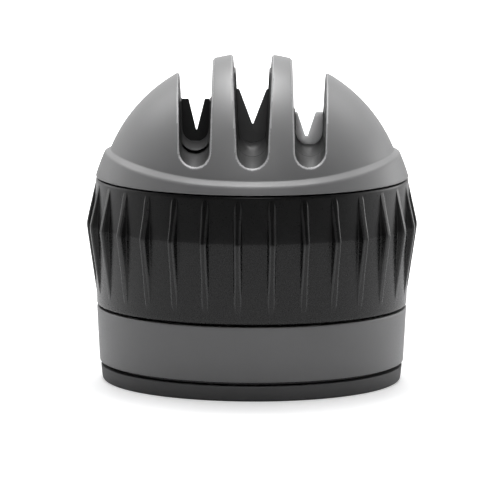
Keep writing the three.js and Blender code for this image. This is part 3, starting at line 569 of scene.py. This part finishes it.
def dress_nodes():
    for name, obj in nodes.items():
        obj.data.materials.clear()
        obj.data.materials.append(MATERIALS[SLOTS[name]])


def set_face_materials(piece, faces_by_material):
    """Further materials of a piece, each with the faces that have it: painted shade, painted highlights and a
    grain. A later one covers an earlier one.
    """
    numbers = np.zeros(len(piece.data.polygons), dtype=np.int32)
    for number, (name, covered) in enumerate(faces_by_material.items(), start=1):
        piece.data.materials.append(MATERIALS[name])
        numbers[covered] = number
    piece.data.polygons.foreach_set("material_index", numbers)


# Building meshes

def set_shape(mesh, points, faces):
    if isinstance(faces, np.ndarray):
        mesh.vertices.add(len(points))
        mesh.vertices.foreach_set("co", points.ravel())
        mesh.loops.add(faces.size)
        mesh.loops.foreach_set("vertex_index", faces.ravel().astype(np.int32))
        mesh.polygons.add(len(faces))
        starts = np.arange(0, faces.size, faces.shape[1], dtype=np.int32)
        mesh.polygons.foreach_set("loop_start", starts)
    else:
        mesh.from_pydata(points.tolist(), [], faces)
    mesh.update(calc_edges=True)
    mesh.validate()
    mesh.polygons.foreach_set("use_smooth", [True] * len(mesh.polygons))


def add_piece(name, points, faces, material, body, normals=None, sharp=None):
    """A mesh piece in millimetres. It rides on a body of the model, if one is named."""
    mesh = bpy.data.meshes.new(name)
    set_shape(mesh, np.asarray(points, dtype=float) * MM, faces)
    if normals is not None:
        mesh.normals_split_custom_set_from_vertices(normals)
    elif sharp is not None:
        mesh.set_sharp_from_angle(angle=math.radians(sharp))
    mesh.materials.append(material)
    piece = bpy.data.objects.new(name, mesh)
    bpy.context.collection.objects.link(piece)
    if body:
        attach(piece, body)
    return piece


def face_outward(mesh, sharp, merged=False):
    """Every face turned outward, after points that lie on each other are merged, if asked for."""
    shape = bmesh.new()
    shape.from_mesh(mesh)
    if merged:
        bmesh.ops.remove_doubles(shape, verts=shape.verts, dist=MERGE_GAP)
    bmesh.ops.recalc_face_normals(shape, faces=shape.faces)
    shape.to_mesh(mesh)
    shape.free()
    mesh.set_sharp_from_angle(angle=math.radians(sharp))


def softened(corners, samples=CORNER_STEPS):
    """A closed outline of (x, z, radius) corners with each corner rounded."""
    outline = []
    count = len(corners)
    for i, (x, z, radius) in enumerate(corners):
        here = Vector((x, z))
        before = Vector(corners[i - 1][:2]) - here
        after = Vector(corners[(i + 1) % count][:2]) - here
        reach = min(radius, CORNER_SHARE * before.length, CORNER_SHARE * after.length)
        if reach < LEAST_CORNER:
            outline.append((x, z))
            continue
        start = here + before.normalized() * reach
        end = here + after.normalized() * reach
        for step in range(samples + 1):
            t = step / samples
            point = start * (1 - t) ** 2 + here * 2 * t * (1 - t) + end * t ** 2
            outline.append((point.x, point.y))
    return outline


def net_faces(rows, columns):
    """Quads between the points of a net that closes on itself both ways."""
    row, column = np.meshgrid(np.arange(rows), np.arange(columns), indexing="ij")
    beside = (column + 1) % columns
    following = (row + 1) % rows
    return np.stack([row * columns + column, row * columns + beside,
                     following * columns + beside, following * columns + column], axis=-1).reshape(-1, 4)


def turned(name, outline, steps, material, body, middle=(0, 0)):
    """An outline of (radius, z) points turned about an upright axis. It closes on itself, or at the axis."""
    outline = np.array(outline)
    angles = np.arange(steps) * (math.tau / steps)
    ring = np.stack([np.cos(angles), np.sin(angles)], axis=1)
    rows = len(outline)
    points = np.empty((rows, steps, 3))
    points[:, :, :2] = outline[:, None, 0:1] * ring[None] + np.array(middle)
    points[:, :, 2] = outline[:, 1:2]
    piece = add_piece(name, points.reshape(-1, 3), net_faces(rows, steps), material, body)
    face_outward(piece.data, TURNED_SHARP, merged=True)
    return piece


def band_faces(rows, columns):
    """Quads between neighbouring rows of points that close on themselves, one row after another."""
    faces = []
    for row in range(rows - 1):
        for i in range(columns):
            j = (i + 1) % columns
            faces.append((row * columns + i, row * columns + j,
                          (row + 1) * columns + j, (row + 1) * columns + i))
    return faces


def lofted(name, rows, material, body, paired=False):
    """A skin over outlines of (x, z) points at several depths, closed at both ends."""
    count = len(rows[0][0])
    points = np.array([(x, y, z) for outline, y in rows for x, z in outline])
    faces = band_faces(len(rows), count)
    for first in (0, (len(rows) - 1) * count):
        if paired:
            for i in range(count // 2 - 1):
                ends = (i, i + 1, count - 2 - i, count - 1 - i)
                faces.append(tuple(first + end for end in ends))
        else:
            faces.append(tuple(range(first, first + count)))
    piece = add_piece(name, points, faces, material, body)
    face_outward(piece.data, LOFTED_SHARP)
    return piece


def carried(name, outline, front, back, edge, material, body, fall=0.0):
    """A closed outline of (x, z) points carried along Y, falling on the way, with rounded edges."""
    outline = np.array(outline)
    ahead = np.roll(outline, -1, 0)
    behind = np.roll(outline, 1, 0)
    along = ahead - behind
    along /= np.linalg.norm(along, axis=1)[:, None]
    area = np.sum(outline[:, 0] * ahead[:, 1] - ahead[:, 0] * outline[:, 1])
    inward = np.stack([-along[:, 1], along[:, 0]], axis=1) * math.copysign(1, area)
    rows = []
    for turn in EDGE_TURNS:
        inset = edge * (1 - math.sin(math.radians(turn)))
        depth = edge * (1 - math.cos(math.radians(turn)))
        rows.append((outline + inward * inset, front + depth))
    rows += [(inner, back - (y - front)) for inner, y in reversed(rows)]
    rows = [(inner - np.array([0, fall * (y - front)]), y) for inner, y in rows]
    return lofted(name, rows, material, body)


def swept(name, path, radius, sides, material, body):
    """A round wire along a path of points in millimetres."""
    path = np.array(path)
    tangents = np.gradient(path, axis=0)
    tangents /= np.linalg.norm(tangents, axis=1)[:, None]
    outward = path * np.array([1, 1, 0])
    outward /= np.linalg.norm(outward, axis=1)[:, None]
    across = np.cross(tangents, outward)
    across /= np.linalg.norm(across, axis=1)[:, None]
    outward = np.cross(across, tangents)
    turns = np.arange(sides) * math.tau / sides
    points = path[:, None] + radius * (np.cos(turns)[None, :, None] * outward[:, None]
                                       + np.sin(turns)[None, :, None] * across[:, None])
    faces = band_faces(len(path), sides)
    last = (len(path) - 1) * sides
    faces.append(list(range(sides))[::-1])
    faces.append([last + i for i in range(sides)])
    return add_piece(name, points.reshape(-1, 3), faces, material, body, sharp=WIRE_SHARP)


# The dome housing, as a distance from its skin that is below zero inside

def round_cut(a, b, radius):
    """The part where both distances are below zero, with a rounded edge."""
    along = np.sqrt(np.maximum(radius + a, 0) ** 2 + np.maximum(radius + b, 0) ** 2)
    return np.minimum(-radius, np.maximum(a, b)) + along


def round_join(a, b, radius):
    """The part where one of the distances is below zero, with a rounded inner corner."""
    along = np.sqrt(np.maximum(radius - a, 0) ** 2 + np.maximum(radius - b, 0) ** 2)
    return np.maximum(radius, np.minimum(a, b)) - along


def collar_radius(rise):
    return RIM_RADIUS - COLLAR_LEAN * rise - rise ** 2 / (2 * COLLAR_BULGE)


def channel_distance(stage, x, z):
    """How far a point lies outside a channel's round-bottomed outline."""
    centre = CHANNEL_FLOOR + stage["half"]
    half = stage["half"] + stage["draft"] * (z - centre)
    beside = np.abs(x - stage["x"]) - half
    below = np.sqrt((x - stage["x"]) ** 2 + (z - centre) ** 2) - stage["half"]
    return np.where(z > centre, beside, below)


def window_distance(stage, x, y, z):
    """How far a point lies outside the window that the holder's shank goes through."""
    across = np.abs(x - stage["x"]) - (SHANK_HALF + WINDOW_GAP)
    along = np.abs(y) - (SHANK_LENGTH / 2 + WINDOW_GAP)
    upright = np.maximum(CEILING - WINDOW_BELOW - z, z - CHANNEL_FLOOR - WINDOW_ABOVE)
    return np.maximum(np.maximum(across, along), upright)


def collar_distance(x, z, across):
    """How far a point lies outside the collar, whose ledge sweeps up towards both sides."""
    side = np.abs(x) / across
    edge = RIM_BOTTOM + LEDGE_RISE + LEDGE_SWEEP * side ** LEDGE_POWER
    foot = edge + LEDGE_HEIGHT - LEDGE_FADE * side ** LEDGE_FADE_POWER
    edge_radius = collar_radius(edge - RIM_BOTTOM)
    foot_radius = np.sqrt(DOME_RADIUS ** 2 - (foot - DOME_CENTRE) ** 2)
    lean = (foot - edge) / (edge_radius - foot_radius)
    ledge = (z - edge - lean * (edge_radius - across)) / np.sqrt(1 + lean ** 2)
    wall = (across - collar_radius(np.maximum(z - RIM_BOTTOM, 0))) * WALL_SHARE
    return round_cut(wall, ledge, COLLAR_EDGE)


def hollow_distance(x, z, across):
    """How far a point lies outside the hollow, which leaves a core under the three channels."""
    inner = np.sqrt(across ** 2 + (z - DOME_CENTRE) ** 2) - DOME_RADIUS + DOME_WALL
    low = np.maximum(across - RIM_INNER, z - RIM_BOTTOM - RIM_DEPTH)
    core = np.maximum(np.abs(x) - STAGE_PITCH - CORE_BESIDE, CEILING - z)
    return np.maximum(np.minimum(inner, low), -core)


def with_bosses(body, dome, across, x, y, z):
    """The body joined with its screw bosses, each with a hole from below."""
    for boss_x, boss_y, radius, low in BOSSES:
        beside = np.sqrt((np.abs(x) - boss_x) ** 2 + (np.abs(y) - boss_y) ** 2)
        boss = np.maximum(np.maximum(beside - radius, low - z), dome + BOSS_SINK)
        boss = np.maximum(boss, across - RIM_INNER + BOSS_GAP)
        hole = np.maximum(beside - BORE, z - low - HOLE_DEPTH)
        body = np.maximum(np.minimum(body, boss), -hole)
    return body


def housing_distance(x, y, z):
    """How far a point lies outside the dome housing."""
    across = np.sqrt(x ** 2 + y ** 2) + TINY
    dome = np.sqrt(x ** 2 + y ** 2 + (z - DOME_CENTRE) ** 2) - DOME_RADIUS
    body = round_join(dome, collar_distance(x, z, across), LEDGE_JOIN)
    body = round_cut(body, RIM_BOTTOM - z, RIM_EDGE)
    body = np.maximum(body, -hollow_distance(x, z, across))
    body = with_bosses(body, dome, across, x, y, z)
    for stage in STAGES:
        body = round_cut(body, -channel_distance(stage, x, z), LIP)
    for stage in STAGES:
        body = np.maximum(body, -window_distance(stage, x, y, z))
    return body


# A net of quads over such a skin

def slope_of(distance, points, step):
    slopes = np.empty_like(points)
    for axis in range(3):
        shift = np.zeros(3)
        shift[axis] = step
        slopes[:, axis] = distance(*(points + shift).T) - distance(*(points - shift).T)
    return slopes / (2 * step)


def crossed_edges(axis, inside):
    """The edges of the grid along one axis that cross the skin, by where they start."""
    starts = tuple(slice(None, -1) if i == axis else slice(None) for i in range(3))
    ends = tuple(slice(1, None) if i == axis else slice(None) for i in range(3))
    found = np.argwhere(inside[starts] != inside[ends])
    kept = np.full(len(found), True)
    for other in ((axis + 1) % 3, (axis + 2) % 3):
        kept &= (found[:, other] > 0) & (found[:, other] < inside.shape[other] - 1)
    return found[kept]


def crossing_places(axis, distance, found, first, low, step):
    """Where the edges cross the skin, by halving each edge again and again."""
    near = np.zeros(len(found))
    far = np.ones(len(found))
    unit = np.eye(3, dtype=int)[axis]
    for _ in range(NET_HALVINGS):
        middle = (near + far) / 2
        place = low + step * (found + unit * middle[:, None])
        same = (distance(*place.T) < 0) == first
        near = np.where(same, middle, near)
        far = np.where(same, far, middle)
    return place


def cells_around(axis, found, shape):
    """The numbers of the four cells round each edge, in order."""
    unit = np.eye(3, dtype=int)
    u, v = unit[(axis + 1) % 3], unit[(axis + 2) % 3]
    around = (found - u - v, found - v, found, found - u)
    return [np.ravel_multi_index(tuple(cell.T), shape) for cell in around]


def sum_rows(place, slope):
    """What each crossing adds to its cells' sums: slopes multiplied in pairs and by offset, place and one."""
    offset = np.sum(slope * place, axis=1)
    rows = [slope[:, i] * slope[:, j] for i, j in SUM_PAIRS]
    rows += [slope[:, i] * offset for i in range(3)]
    rows += [place[:, i] for i in range(3)]
    return rows + [np.ones(len(place))]


def settled_points(sums, step):
    """For each cell the point that lies nearest to the skin's planes at its crossings."""
    squares, offsets, places, count = np.split(sums, SUM_SPLITS, axis=1)
    mean = places / count
    square = np.empty((len(sums), 3, 3))
    for k, (i, j) in enumerate(SUM_PAIRS):
        square[:, i, j] = squares[:, k]
        square[:, j, i] = squares[:, k]
    right = offsets - np.einsum("nij,nj->ni", square, mean)
    square += NET_PULL * count[:, :, None] * np.eye(3)
    move = np.linalg.solve(square, right[..., None])[..., 0]
    return mean + np.clip(move, -NET_MOVE * step, NET_MOVE * step)


def mirrored(points, faces, normals):
    """The whole skin from one quarter of it. The points on the two upright planes are shared."""
    for axis in (0, 1):
        turn = np.ones(3)
        turn[axis] = -1
        shared = points[:, axis] == 0
        normals[shared, axis] = 0
        fresh = np.where(shared, np.arange(len(points)), np.cumsum(~shared) - 1 + len(points))
        faces = np.concatenate([faces, fresh[faces][:, ::-1]])
        points = np.concatenate([points, points[~shared] * turn])
        normals = np.concatenate([normals, normals[~shared] * turn])
    return points, faces, normals


def netted(distance, high, low, step):
    """The skin of a solid that is alike in all four quarters: a net of quads over one, then mirrored."""
    low = np.array([-step / 2, -step / 2, low])
    counts = np.ceil((np.array(high) - low) / step).astype(int) + 1
    axes = [low[i] + step * np.arange(counts[i]) for i in range(3)]
    inside = distance(*np.meshgrid(*axes, indexing="ij")) < 0
    shape = counts - 1
    sums = np.zeros((int(np.prod(shape)), SUM_COLUMNS))
    quads = []
    for axis in range(3):
        found = crossed_edges(axis, inside)
        first = inside[tuple(found.T)]
        place = crossing_places(axis, distance, found, first, low, step)
        slope = slope_of(distance, place, CROSSING_SLOPE_STEP)
        slope /= np.linalg.norm(slope, axis=1)[:, None] + TINY
        rows = sum_rows(place, slope)
        cells = cells_around(axis, found, shape)
        for cell in cells:
            for k, row in enumerate(rows):
                sums[:, k] += np.bincount(cell, weights=row, minlength=len(sums))
        quad = np.stack(cells, axis=1)
        quads.append(np.where(first[:, None], quad, quad[:, ::-1]))
    used = np.flatnonzero(sums[:, -1])
    points = settled_points(sums[used], step)
    cell = np.stack(np.unravel_index(used, shape), axis=1)
    for axis in (0, 1):
        points[cell[:, axis] == 0, axis] = 0
    normals = slope_of(distance, points, POINT_SLOPE_STEP)
    normals /= np.linalg.norm(normals, axis=1)[:, None] + TINY
    numbers = np.full(len(sums), -1)
    numbers[used] = np.arange(len(used))
    return mirrored(points, numbers[np.concatenate(quads)], normals)


def add_housing():
    points, faces, normals = netted(housing_distance, NET_HIGH, NET_LOW, NET_STEP)
    piece = add_piece("housing", points, faces, MATERIALS["grey_plastic"], "base", normals=normals)
    x, _, z = points[faces].mean(axis=1).T
    # Faces inside the channels get a much darker grey, a painted shade.
    depth = np.min([channel_distance(stage, x, z) for stage in STAGES], axis=0)
    # Faces along the channels' lips get a lighter grey, a painted highlight.
    lip_highlight = (depth >= LIP_INNER) & (depth < LIP_OUTER) & (z > CHANNEL_FLOOR - LIP_BELOW)
    set_face_materials(piece, dict(grey_gloss_and_painted_shade=np.abs(depth) < LIP_INNER, grey_lip_painted_highlight=lip_highlight))
    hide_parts("dome_housing")


# The grip ring

def round_low(a, b, soft):
    """The lower of two values, with a soft change from one to the other."""
    return (a + b - np.sqrt((a - b) ** 2 + soft ** 2)) / 2


def wall_radius(z):
    """The grip ring's wall between the ribs: it swells from the foot to a waist and draws in again."""
    low = RING_FOOT_RADIUS + (WAIST_RADIUS - RING_FOOT_RADIUS) * (z - RING_BOTTOM) / (RIB_CREST - RING_BOTTOM)
    high = WAIST_RADIUS - (WAIST_RADIUS - RING_TOP_RADIUS) * (z - RIB_CREST) / (RING_TOP - RIB_CREST)
    return round_low(low, high, WAIST_SOFTNESS)


def rib_radius(z):
    """A rib's top: it rises from the foot to a crest and falls again to the ring's top."""
    low = RING_FOOT_RADIUS + (RIB_CREST_RADIUS - RING_FOOT_RADIUS) * (z - RIB_FOOT) / (RIB_CREST - RIB_FOOT)
    high = RIB_CREST_RADIUS - (RIB_CREST_RADIUS - RING_TOP_RADIUS) * (z - RIB_CREST) / (RIB_HEAD - RIB_CREST)
    return round_low(low, high, CREST_SOFTNESS)


def rib_section(height):
    """One pitch of the ring's wall: (distance along it, height above it), with one rib in its middle."""
    pitch = math.radians(FULL_TURN / RIB_COUNT) * WAIST_RADIUS
    narrow = 1 - RIB_NARROWING * math.exp(-height / RIB_NARROW_HEIGHT)
    root = RIB_HALF * narrow
    top = RIB_TOP_HALF * narrow
    edge = root + RIB_APRON
    top_round = min(RIB_TOP_ROUND, RIB_TOP_ROUND_SHARE * height + LEAST_EDGE)
    foot_round = min(RIB_FOOT_ROUND, RIB_FOOT_ROUND_SHARE * height + LEAST_EDGE)
    corners = [(-edge, 0, LEAST_EDGE), (-root, 0, foot_round), (-top, height, top_round),
               (top, height, top_round), (root, 0, foot_round), (edge, 0, LEAST_EDGE)]
    outline = softened(corners, RIB_CORNER_STEPS)
    left = [(-pitch / 2 + (pitch / 2 - edge) * share, 0) for share in (0, *WALL_SHARES)]
    right = [(edge + (pitch / 2 - edge) * share, 0) for share in WALL_SHARES]
    return np.array(left + outline + right)


def ring_rows():
    """The wall from its inner foot round its outside to its inner top: radius, height, ribbed or not."""
    rows = [(RING_INNER, RING_BOTTOM, False),
            (RING_FOOT_RADIUS - RING_EDGE, RING_BOTTOM, False),
            (RING_FOOT_RADIUS - RING_FOOT_BEVEL, RING_BOTTOM + RING_FOOT_BEVEL, False)]
    rows += [(float(wall_radius(RING_BOTTOM + rise)), RING_BOTTOM + rise, True) for rise in RING_RISES]
    rows += [(RING_TOP_RADIUS - inset, RING_TOP - drop, False) for inset, drop in RING_TOP_BEVELS]
    return rows + [(RING_INNER, RING_TOP, False)]


def ring_points(radius, z, ribbed):
    """One row of points round the whole ring, rib after rib."""
    height = max(float(rib_radius(z) - wall_radius(z)), 0) if ribbed else 0
    section = rib_section(height)
    reach = radius + section[:, 1]
    points = []
    for rib in range(RIB_COUNT):
        middle = math.radians(RIB_TURN + rib * FULL_TURN / RIB_COUNT - QUARTER_TURN)
        turn = middle + section[:, 0] / WAIST_RADIUS
        points.append(np.stack([reach * np.cos(turn), reach * np.sin(turn), np.full(len(turn), z)], axis=1))
    return np.concatenate(points)


def add_ring():
    rows = ring_rows()
    points = np.array([ring_points(*row) for row in rows])
    around = points.shape[1]
    points = points.reshape(-1, 3)
    faces = net_faces(len(rows), around)
    piece = add_piece("twist_ring", points, faces, MATERIALS["black_plastic"], "ring", sharp=RING_SHARP)
    # The upper half gets a darker black with a coarser grain: partly grain, partly painted shade.
    upper = points[faces][:, :, 2].mean(axis=1) > RIB_CREST
    place = np.tile(np.arange(around) % (around // RIB_COUNT), len(rows))
    # The ribs' rounded edges get a lighter black, a painted highlight.
    edge = np.isin(place, RIB_HIGHLIGHT_EDGES) & np.repeat([ribbed for _, _, ribbed in rows], around)
    set_face_materials(piece, dict(black_grain_and_painted_shade=upper, black_edge_painted_highlight=edge))
    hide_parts("grip_ring")


# The base

def add_band():
    plastic = MATERIALS["band_plastic"]
    wall = softened([
        (BAND_INNER, BAND_BOTTOM, SMALL_EDGE),
        (BAND_RADIUS - BAND_DRAFT, BAND_BOTTOM, BAND_FOOT_EDGE),
        (BAND_RADIUS, BAND_TOP, WIDE_EDGE),
        (BAND_INNER, BAND_TOP, EDGE),
        (BAND_INNER, BAND_FLOOR_TOP, SMALL_EDGE),
        (LAND_OUTER, BAND_FLOOR_TOP, SMALL_EDGE),
        (LAND_OUTER, LAND_TOP, SMALL_EDGE),
        (LAND_INNER, LAND_TOP, SMALL_EDGE),
        (LAND_INNER, BAND_FLOOR_TOP, SMALL_EDGE),
        (BAND_HOLE, BAND_FLOOR_TOP, 0),
        (BAND_HOLE, BAND_FLOOR_BOTTOM, 0),
        (BAND_INNER, BAND_FLOOR_BOTTOM, 0),
    ])
    boss = softened([
        (BORE, BAND_BOSS_FOOT, 0),
        (BAND_BOSS_RADIUS, BAND_BOSS_FOOT, 0),
        (BAND_BOSS_RADIUS, BAND_BOSS_TOP, EDGE),
        (BORE, BAND_BOSS_TOP, SMALL_EDGE),
    ])
    pieces = [turned("foot_band", wall, BAND_STEPS, plastic, "base")]
    for number in range(BAND_BOSS_COUNT):
        turn = math.radians(BAND_BOSS_TURN + FULL_TURN / BAND_BOSS_COUNT * number)
        middle = (BAND_BOSS_CIRCLE * math.cos(turn), BAND_BOSS_CIRCLE * math.sin(turn))
        pieces.append(turned(f"band_boss_{number + 1}", boss, BAND_BOSS_STEPS, plastic, "base", middle))
    for piece in pieces:
        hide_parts("base_band")


def add_pad():
    """The pad as a rim on the worktop, a hub on the stem, and a skin between them."""
    rubber = MATERIALS["rubber"]
    rim = softened([
        (PAD_RADIUS - PAD_LIP_WIDTH, 0, EDGE),
        (PAD_RADIUS, 0, PAD_FOOT_EDGE),
        (PAD_TOP_RADIUS, PAD_HEIGHT, EDGE),
        (BEAD_OUTER, PAD_HEIGHT, FINE_EDGE),
        (BEAD_OUTER, BEAD_TOP, EDGE),
        (BEAD_INNER, BEAD_TOP, EDGE),
        (BEAD_INNER, PAD_HEIGHT, FINE_EDGE),
        (SHOULDER_RADIUS, PAD_HEIGHT, WIDE_EDGE),
        (RIM_STEP_RADIUS, RIM_STEP_TOP, WIDE_EDGE),
        (RIM_STEP_RADIUS, RIM_STEP_BOTTOM, FINE_EDGE),
    ])
    skin = softened([
        (SKIN_RADIUS, SKIN_BOTTOM, FINE_EDGE),
        (SKIN_RADIUS, SKIN_TOP, FINE_EDGE),
        (HUB_RADIUS + HUB_GAP, PAD_DISH + PAD_SKIN, EDGE),
        (HUB_RADIUS + HUB_GAP, PAD_DISH, FINE_EDGE),
    ])
    hub = softened([
        (0, PAD_DISH, 0),
        (HUB_RADIUS, PAD_DISH, EDGE),
        (HUB_RADIUS, HUB_TOP, ROUND_EDGE),
        (STEM_HOLE, HUB_TOP, SMALL_EDGE),
        (STEM_HOLE, POCKET_TOP, 0),
        (POCKET_RADIUS, POCKET_TOP, 0),
        (POCKET_RADIUS, POCKET_FLOOR, 0),
        (0, POCKET_FLOOR, 0),
    ])
    pieces = [turned("pad_rim", rim, PAD_STEPS, rubber, "base"),
              turned("pad_skin", skin, SKIN_STEPS, rubber, None),
              turned("pad_hub", hub, HUB_STEPS, rubber, "lift")]
    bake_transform(pieces[1])
    for piece in pieces:
        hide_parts("suction_pad")


def add_spring():
    """The spring between the moving carrier and the top of the column."""
    steps = SPRING_TURNS * SPRING_STEPS
    path = []
    for i in range(steps + 1):
        turn = math.tau * SPRING_TURNS * i / steps
        rise = (SPRING_TOP - SPRING_BOTTOM) * i / steps
        path.append((SPRING_RADIUS * math.cos(turn), SPRING_RADIUS * math.sin(turn), SPRING_BOTTOM + rise))
    piece = swept("lift_spring", path, WIRE_RADIUS, WIRE_SIDES, MATERIALS["steel"], None)
    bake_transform(piece)
    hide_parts("return_spring")


# Holders and plates

def tongue(stage, half, bottom, top):
    """A round-bottomed outline, from its upper right corner round to its upper left one."""
    centre = bottom + half
    reach = half + stage["draft"] * (top - centre)
    outline = [(stage["x"] + reach, top)]
    for i in range(TONGUE_STEPS + 1):
        turn = math.pi * i / TONGUE_STEPS
        outline.append((stage["x"] + half * math.cos(turn), centre - half * math.sin(turn)))
    outline.append((stage["x"] - reach, top))
    return outline


def slab(stage, half, bottom, top):
    left = stage["x"] - half
    right = stage["x"] + half
    return [(left, bottom), (right, bottom), (right, top), (left, top)]


def notch(stage, top):
    """The V notch from its upper left corner round its narrow flat bottom to its upper right one."""
    slope = math.tan(math.radians(stage["angle"]))
    middle = stage["x"] + stage["offset"]
    apex = CHANNEL_FLOOR + stage["apex"]
    floor = apex + stage["flat"] / slope
    half = slope * (top - apex)
    return [(middle - half, top, PLATE_CORNER), (middle - stage["flat"], floor, stage["round"]),
            (middle + stage["flat"], floor, stage["round"]), (middle + half, top, PLATE_CORNER)]


def on_side(mouth, foot, upper, lower):
    """Where a flank of the notch meets the plate's side, as a slightly rounded corner."""
    (x1, z1, _), (x2, z2, _) = mouth, foot
    (x3, z3), (x4, z4) = upper, lower
    parallel = (x1 - x2) * (z3 - z4) - (z1 - z2) * (x3 - x4)
    share = ((x1 - x3) * (z3 - z4) - (z1 - z3) * (x3 - x4)) / parallel
    return (x1 + share * (x2 - x1), z1 + share * (z2 - z1), PLATE_CORNER)


def plate_outline(stage, half, bottom, top):
    """A plate's outline: round below, with the notch in its top or, where that is wide, in its sides."""
    sides = tongue(stage, half, bottom, top)
    right, left = sides[0], sides[-1]
    vee = notch(stage, top)
    corners = [(x, z, 0) for x, z in sides[1:-1]]
    if vee[0][0] > left[0] + PLATE_LAND:
        corners += [(*left, PLATE_CORNER), vee[0]]
    else:
        corners += [on_side(vee[0], vee[1], left, sides[-2])]
    corners += vee[1:3]
    if vee[3][0] < right[0] - PLATE_LAND:
        corners += [vee[3], (*right, PLATE_CORNER)]
    else:
        corners += [on_side(vee[3], vee[2], right, sides[1])]
    return np.array(softened(corners, PLATE_CORNER_STEPS))


def holder_rows(stage, half, seat, pocket):
    """The holder's frame from front to back, thin at its scooped ends and thicker in its middle."""
    upright = CHANNEL_FLOOR + stage["upright"]
    outer = np.array(tongue(stage, half, seat, upright))
    inner = np.array(tongue(stage, half - stage["cheek"], pocket, upright))
    rows = []
    for step in range(HOLDER_ROWS):
        turn = math.radians(QUARTER_TURN * step / (HOLDER_ROWS - 1))
        share = max(1 - math.cos(turn), LEAST_SCOOP_SHARE)
        wall = outer + share * (inner - outer)
        outline = np.concatenate([outer, wall[::-1]])
        rows.append((outline, -stage["reach"] - stage["scoop"] * (1 - math.sin(turn))))
    return rows + [(outline, -y) for outline, y in reversed(rows)]


def add_holder(name, stage, half, pocket, finish):
    """A frame in the channel, with a shank through the window and a foot under the channel's floor."""
    sink = 0 if stage["raised"] else HOLDER_GAP
    seat = CHANNEL_FLOOR + stage["raised"] - sink
    rows = holder_rows(stage, half, seat, pocket)
    shank = slab(stage, SHANK_HALF, FOOT_TOP - SHANK_OVERLAP, pocket + POCKET_OVERLAP)
    foot = slab(stage, FOOT_HALF, FOOT_BOTTOM, FOOT_TOP)
    pieces = [
        lofted(f"{name}_frame", rows, finish, "base", paired=True),
        carried(f"{name}_shank", shank, -SHANK_LENGTH / 2, SHANK_LENGTH / 2, FINE_EDGE, finish, "base"),
        carried(f"{name}_foot", foot, -FOOT_LENGTH / 2, FOOT_LENGTH / 2, SMALL_EDGE, finish, "base"),
    ]
    for piece in pieces:
        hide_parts(f"{name}_holder")


def add_plates(name, stage, half, pocket, slot):
    """The front and the rear plate. Their tops and notches fall towards the rear."""
    top = CHANNEL_FLOOR + stage["top"]
    outline = plate_outline(stage, half - stage["cheek"] - PLATE_GAP, pocket + PLATE_GAP, top)
    front = -PLATE_THICKNESS - PLATE_PARTING
    for side, y in (("front", front), ("rear", PLATE_PARTING)):
        lowered = outline - np.array([0, PLATE_LEAN * (y - front)])
        piece = carried(f"{name}_{side}_plate", lowered, y, y + PLATE_THICKNESS, PLATE_EDGE,
                        MATERIALS[slot], "base", PLATE_LEAN)
        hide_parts(f"{name}_plate_{side}")


def add_stage(name, stage, holder_material, plate_slot):
    half = stage["half"] - HOLDER_GAP
    pocket = CHANNEL_FLOOR + stage["pocket"]
    add_holder(name, stage, half, pocket, MATERIALS[holder_material])
    add_plates(name, stage, half, pocket, plate_slot)


add_camera()
set_world()
for lamp in LAMPS:
    add_lamp(*lamp)
add_floor()
dress_nodes()
add_housing()
add_ring()
add_band()
add_pad()
add_spring()
add_stage("coarse", COARSE, "holder_black", "carbide")
# The medium and fine holders get a much darker grey than the housing, a painted shade.
add_stage("medium", MEDIUM, "holder_grey_painted_shade", "diamond")
add_stage("fine", FINE, "holder_grey_painted_shade", "ceramic")

bpy.context.scene.view_settings.view_transform = "Standard"
bpy.context.view_layer.update()
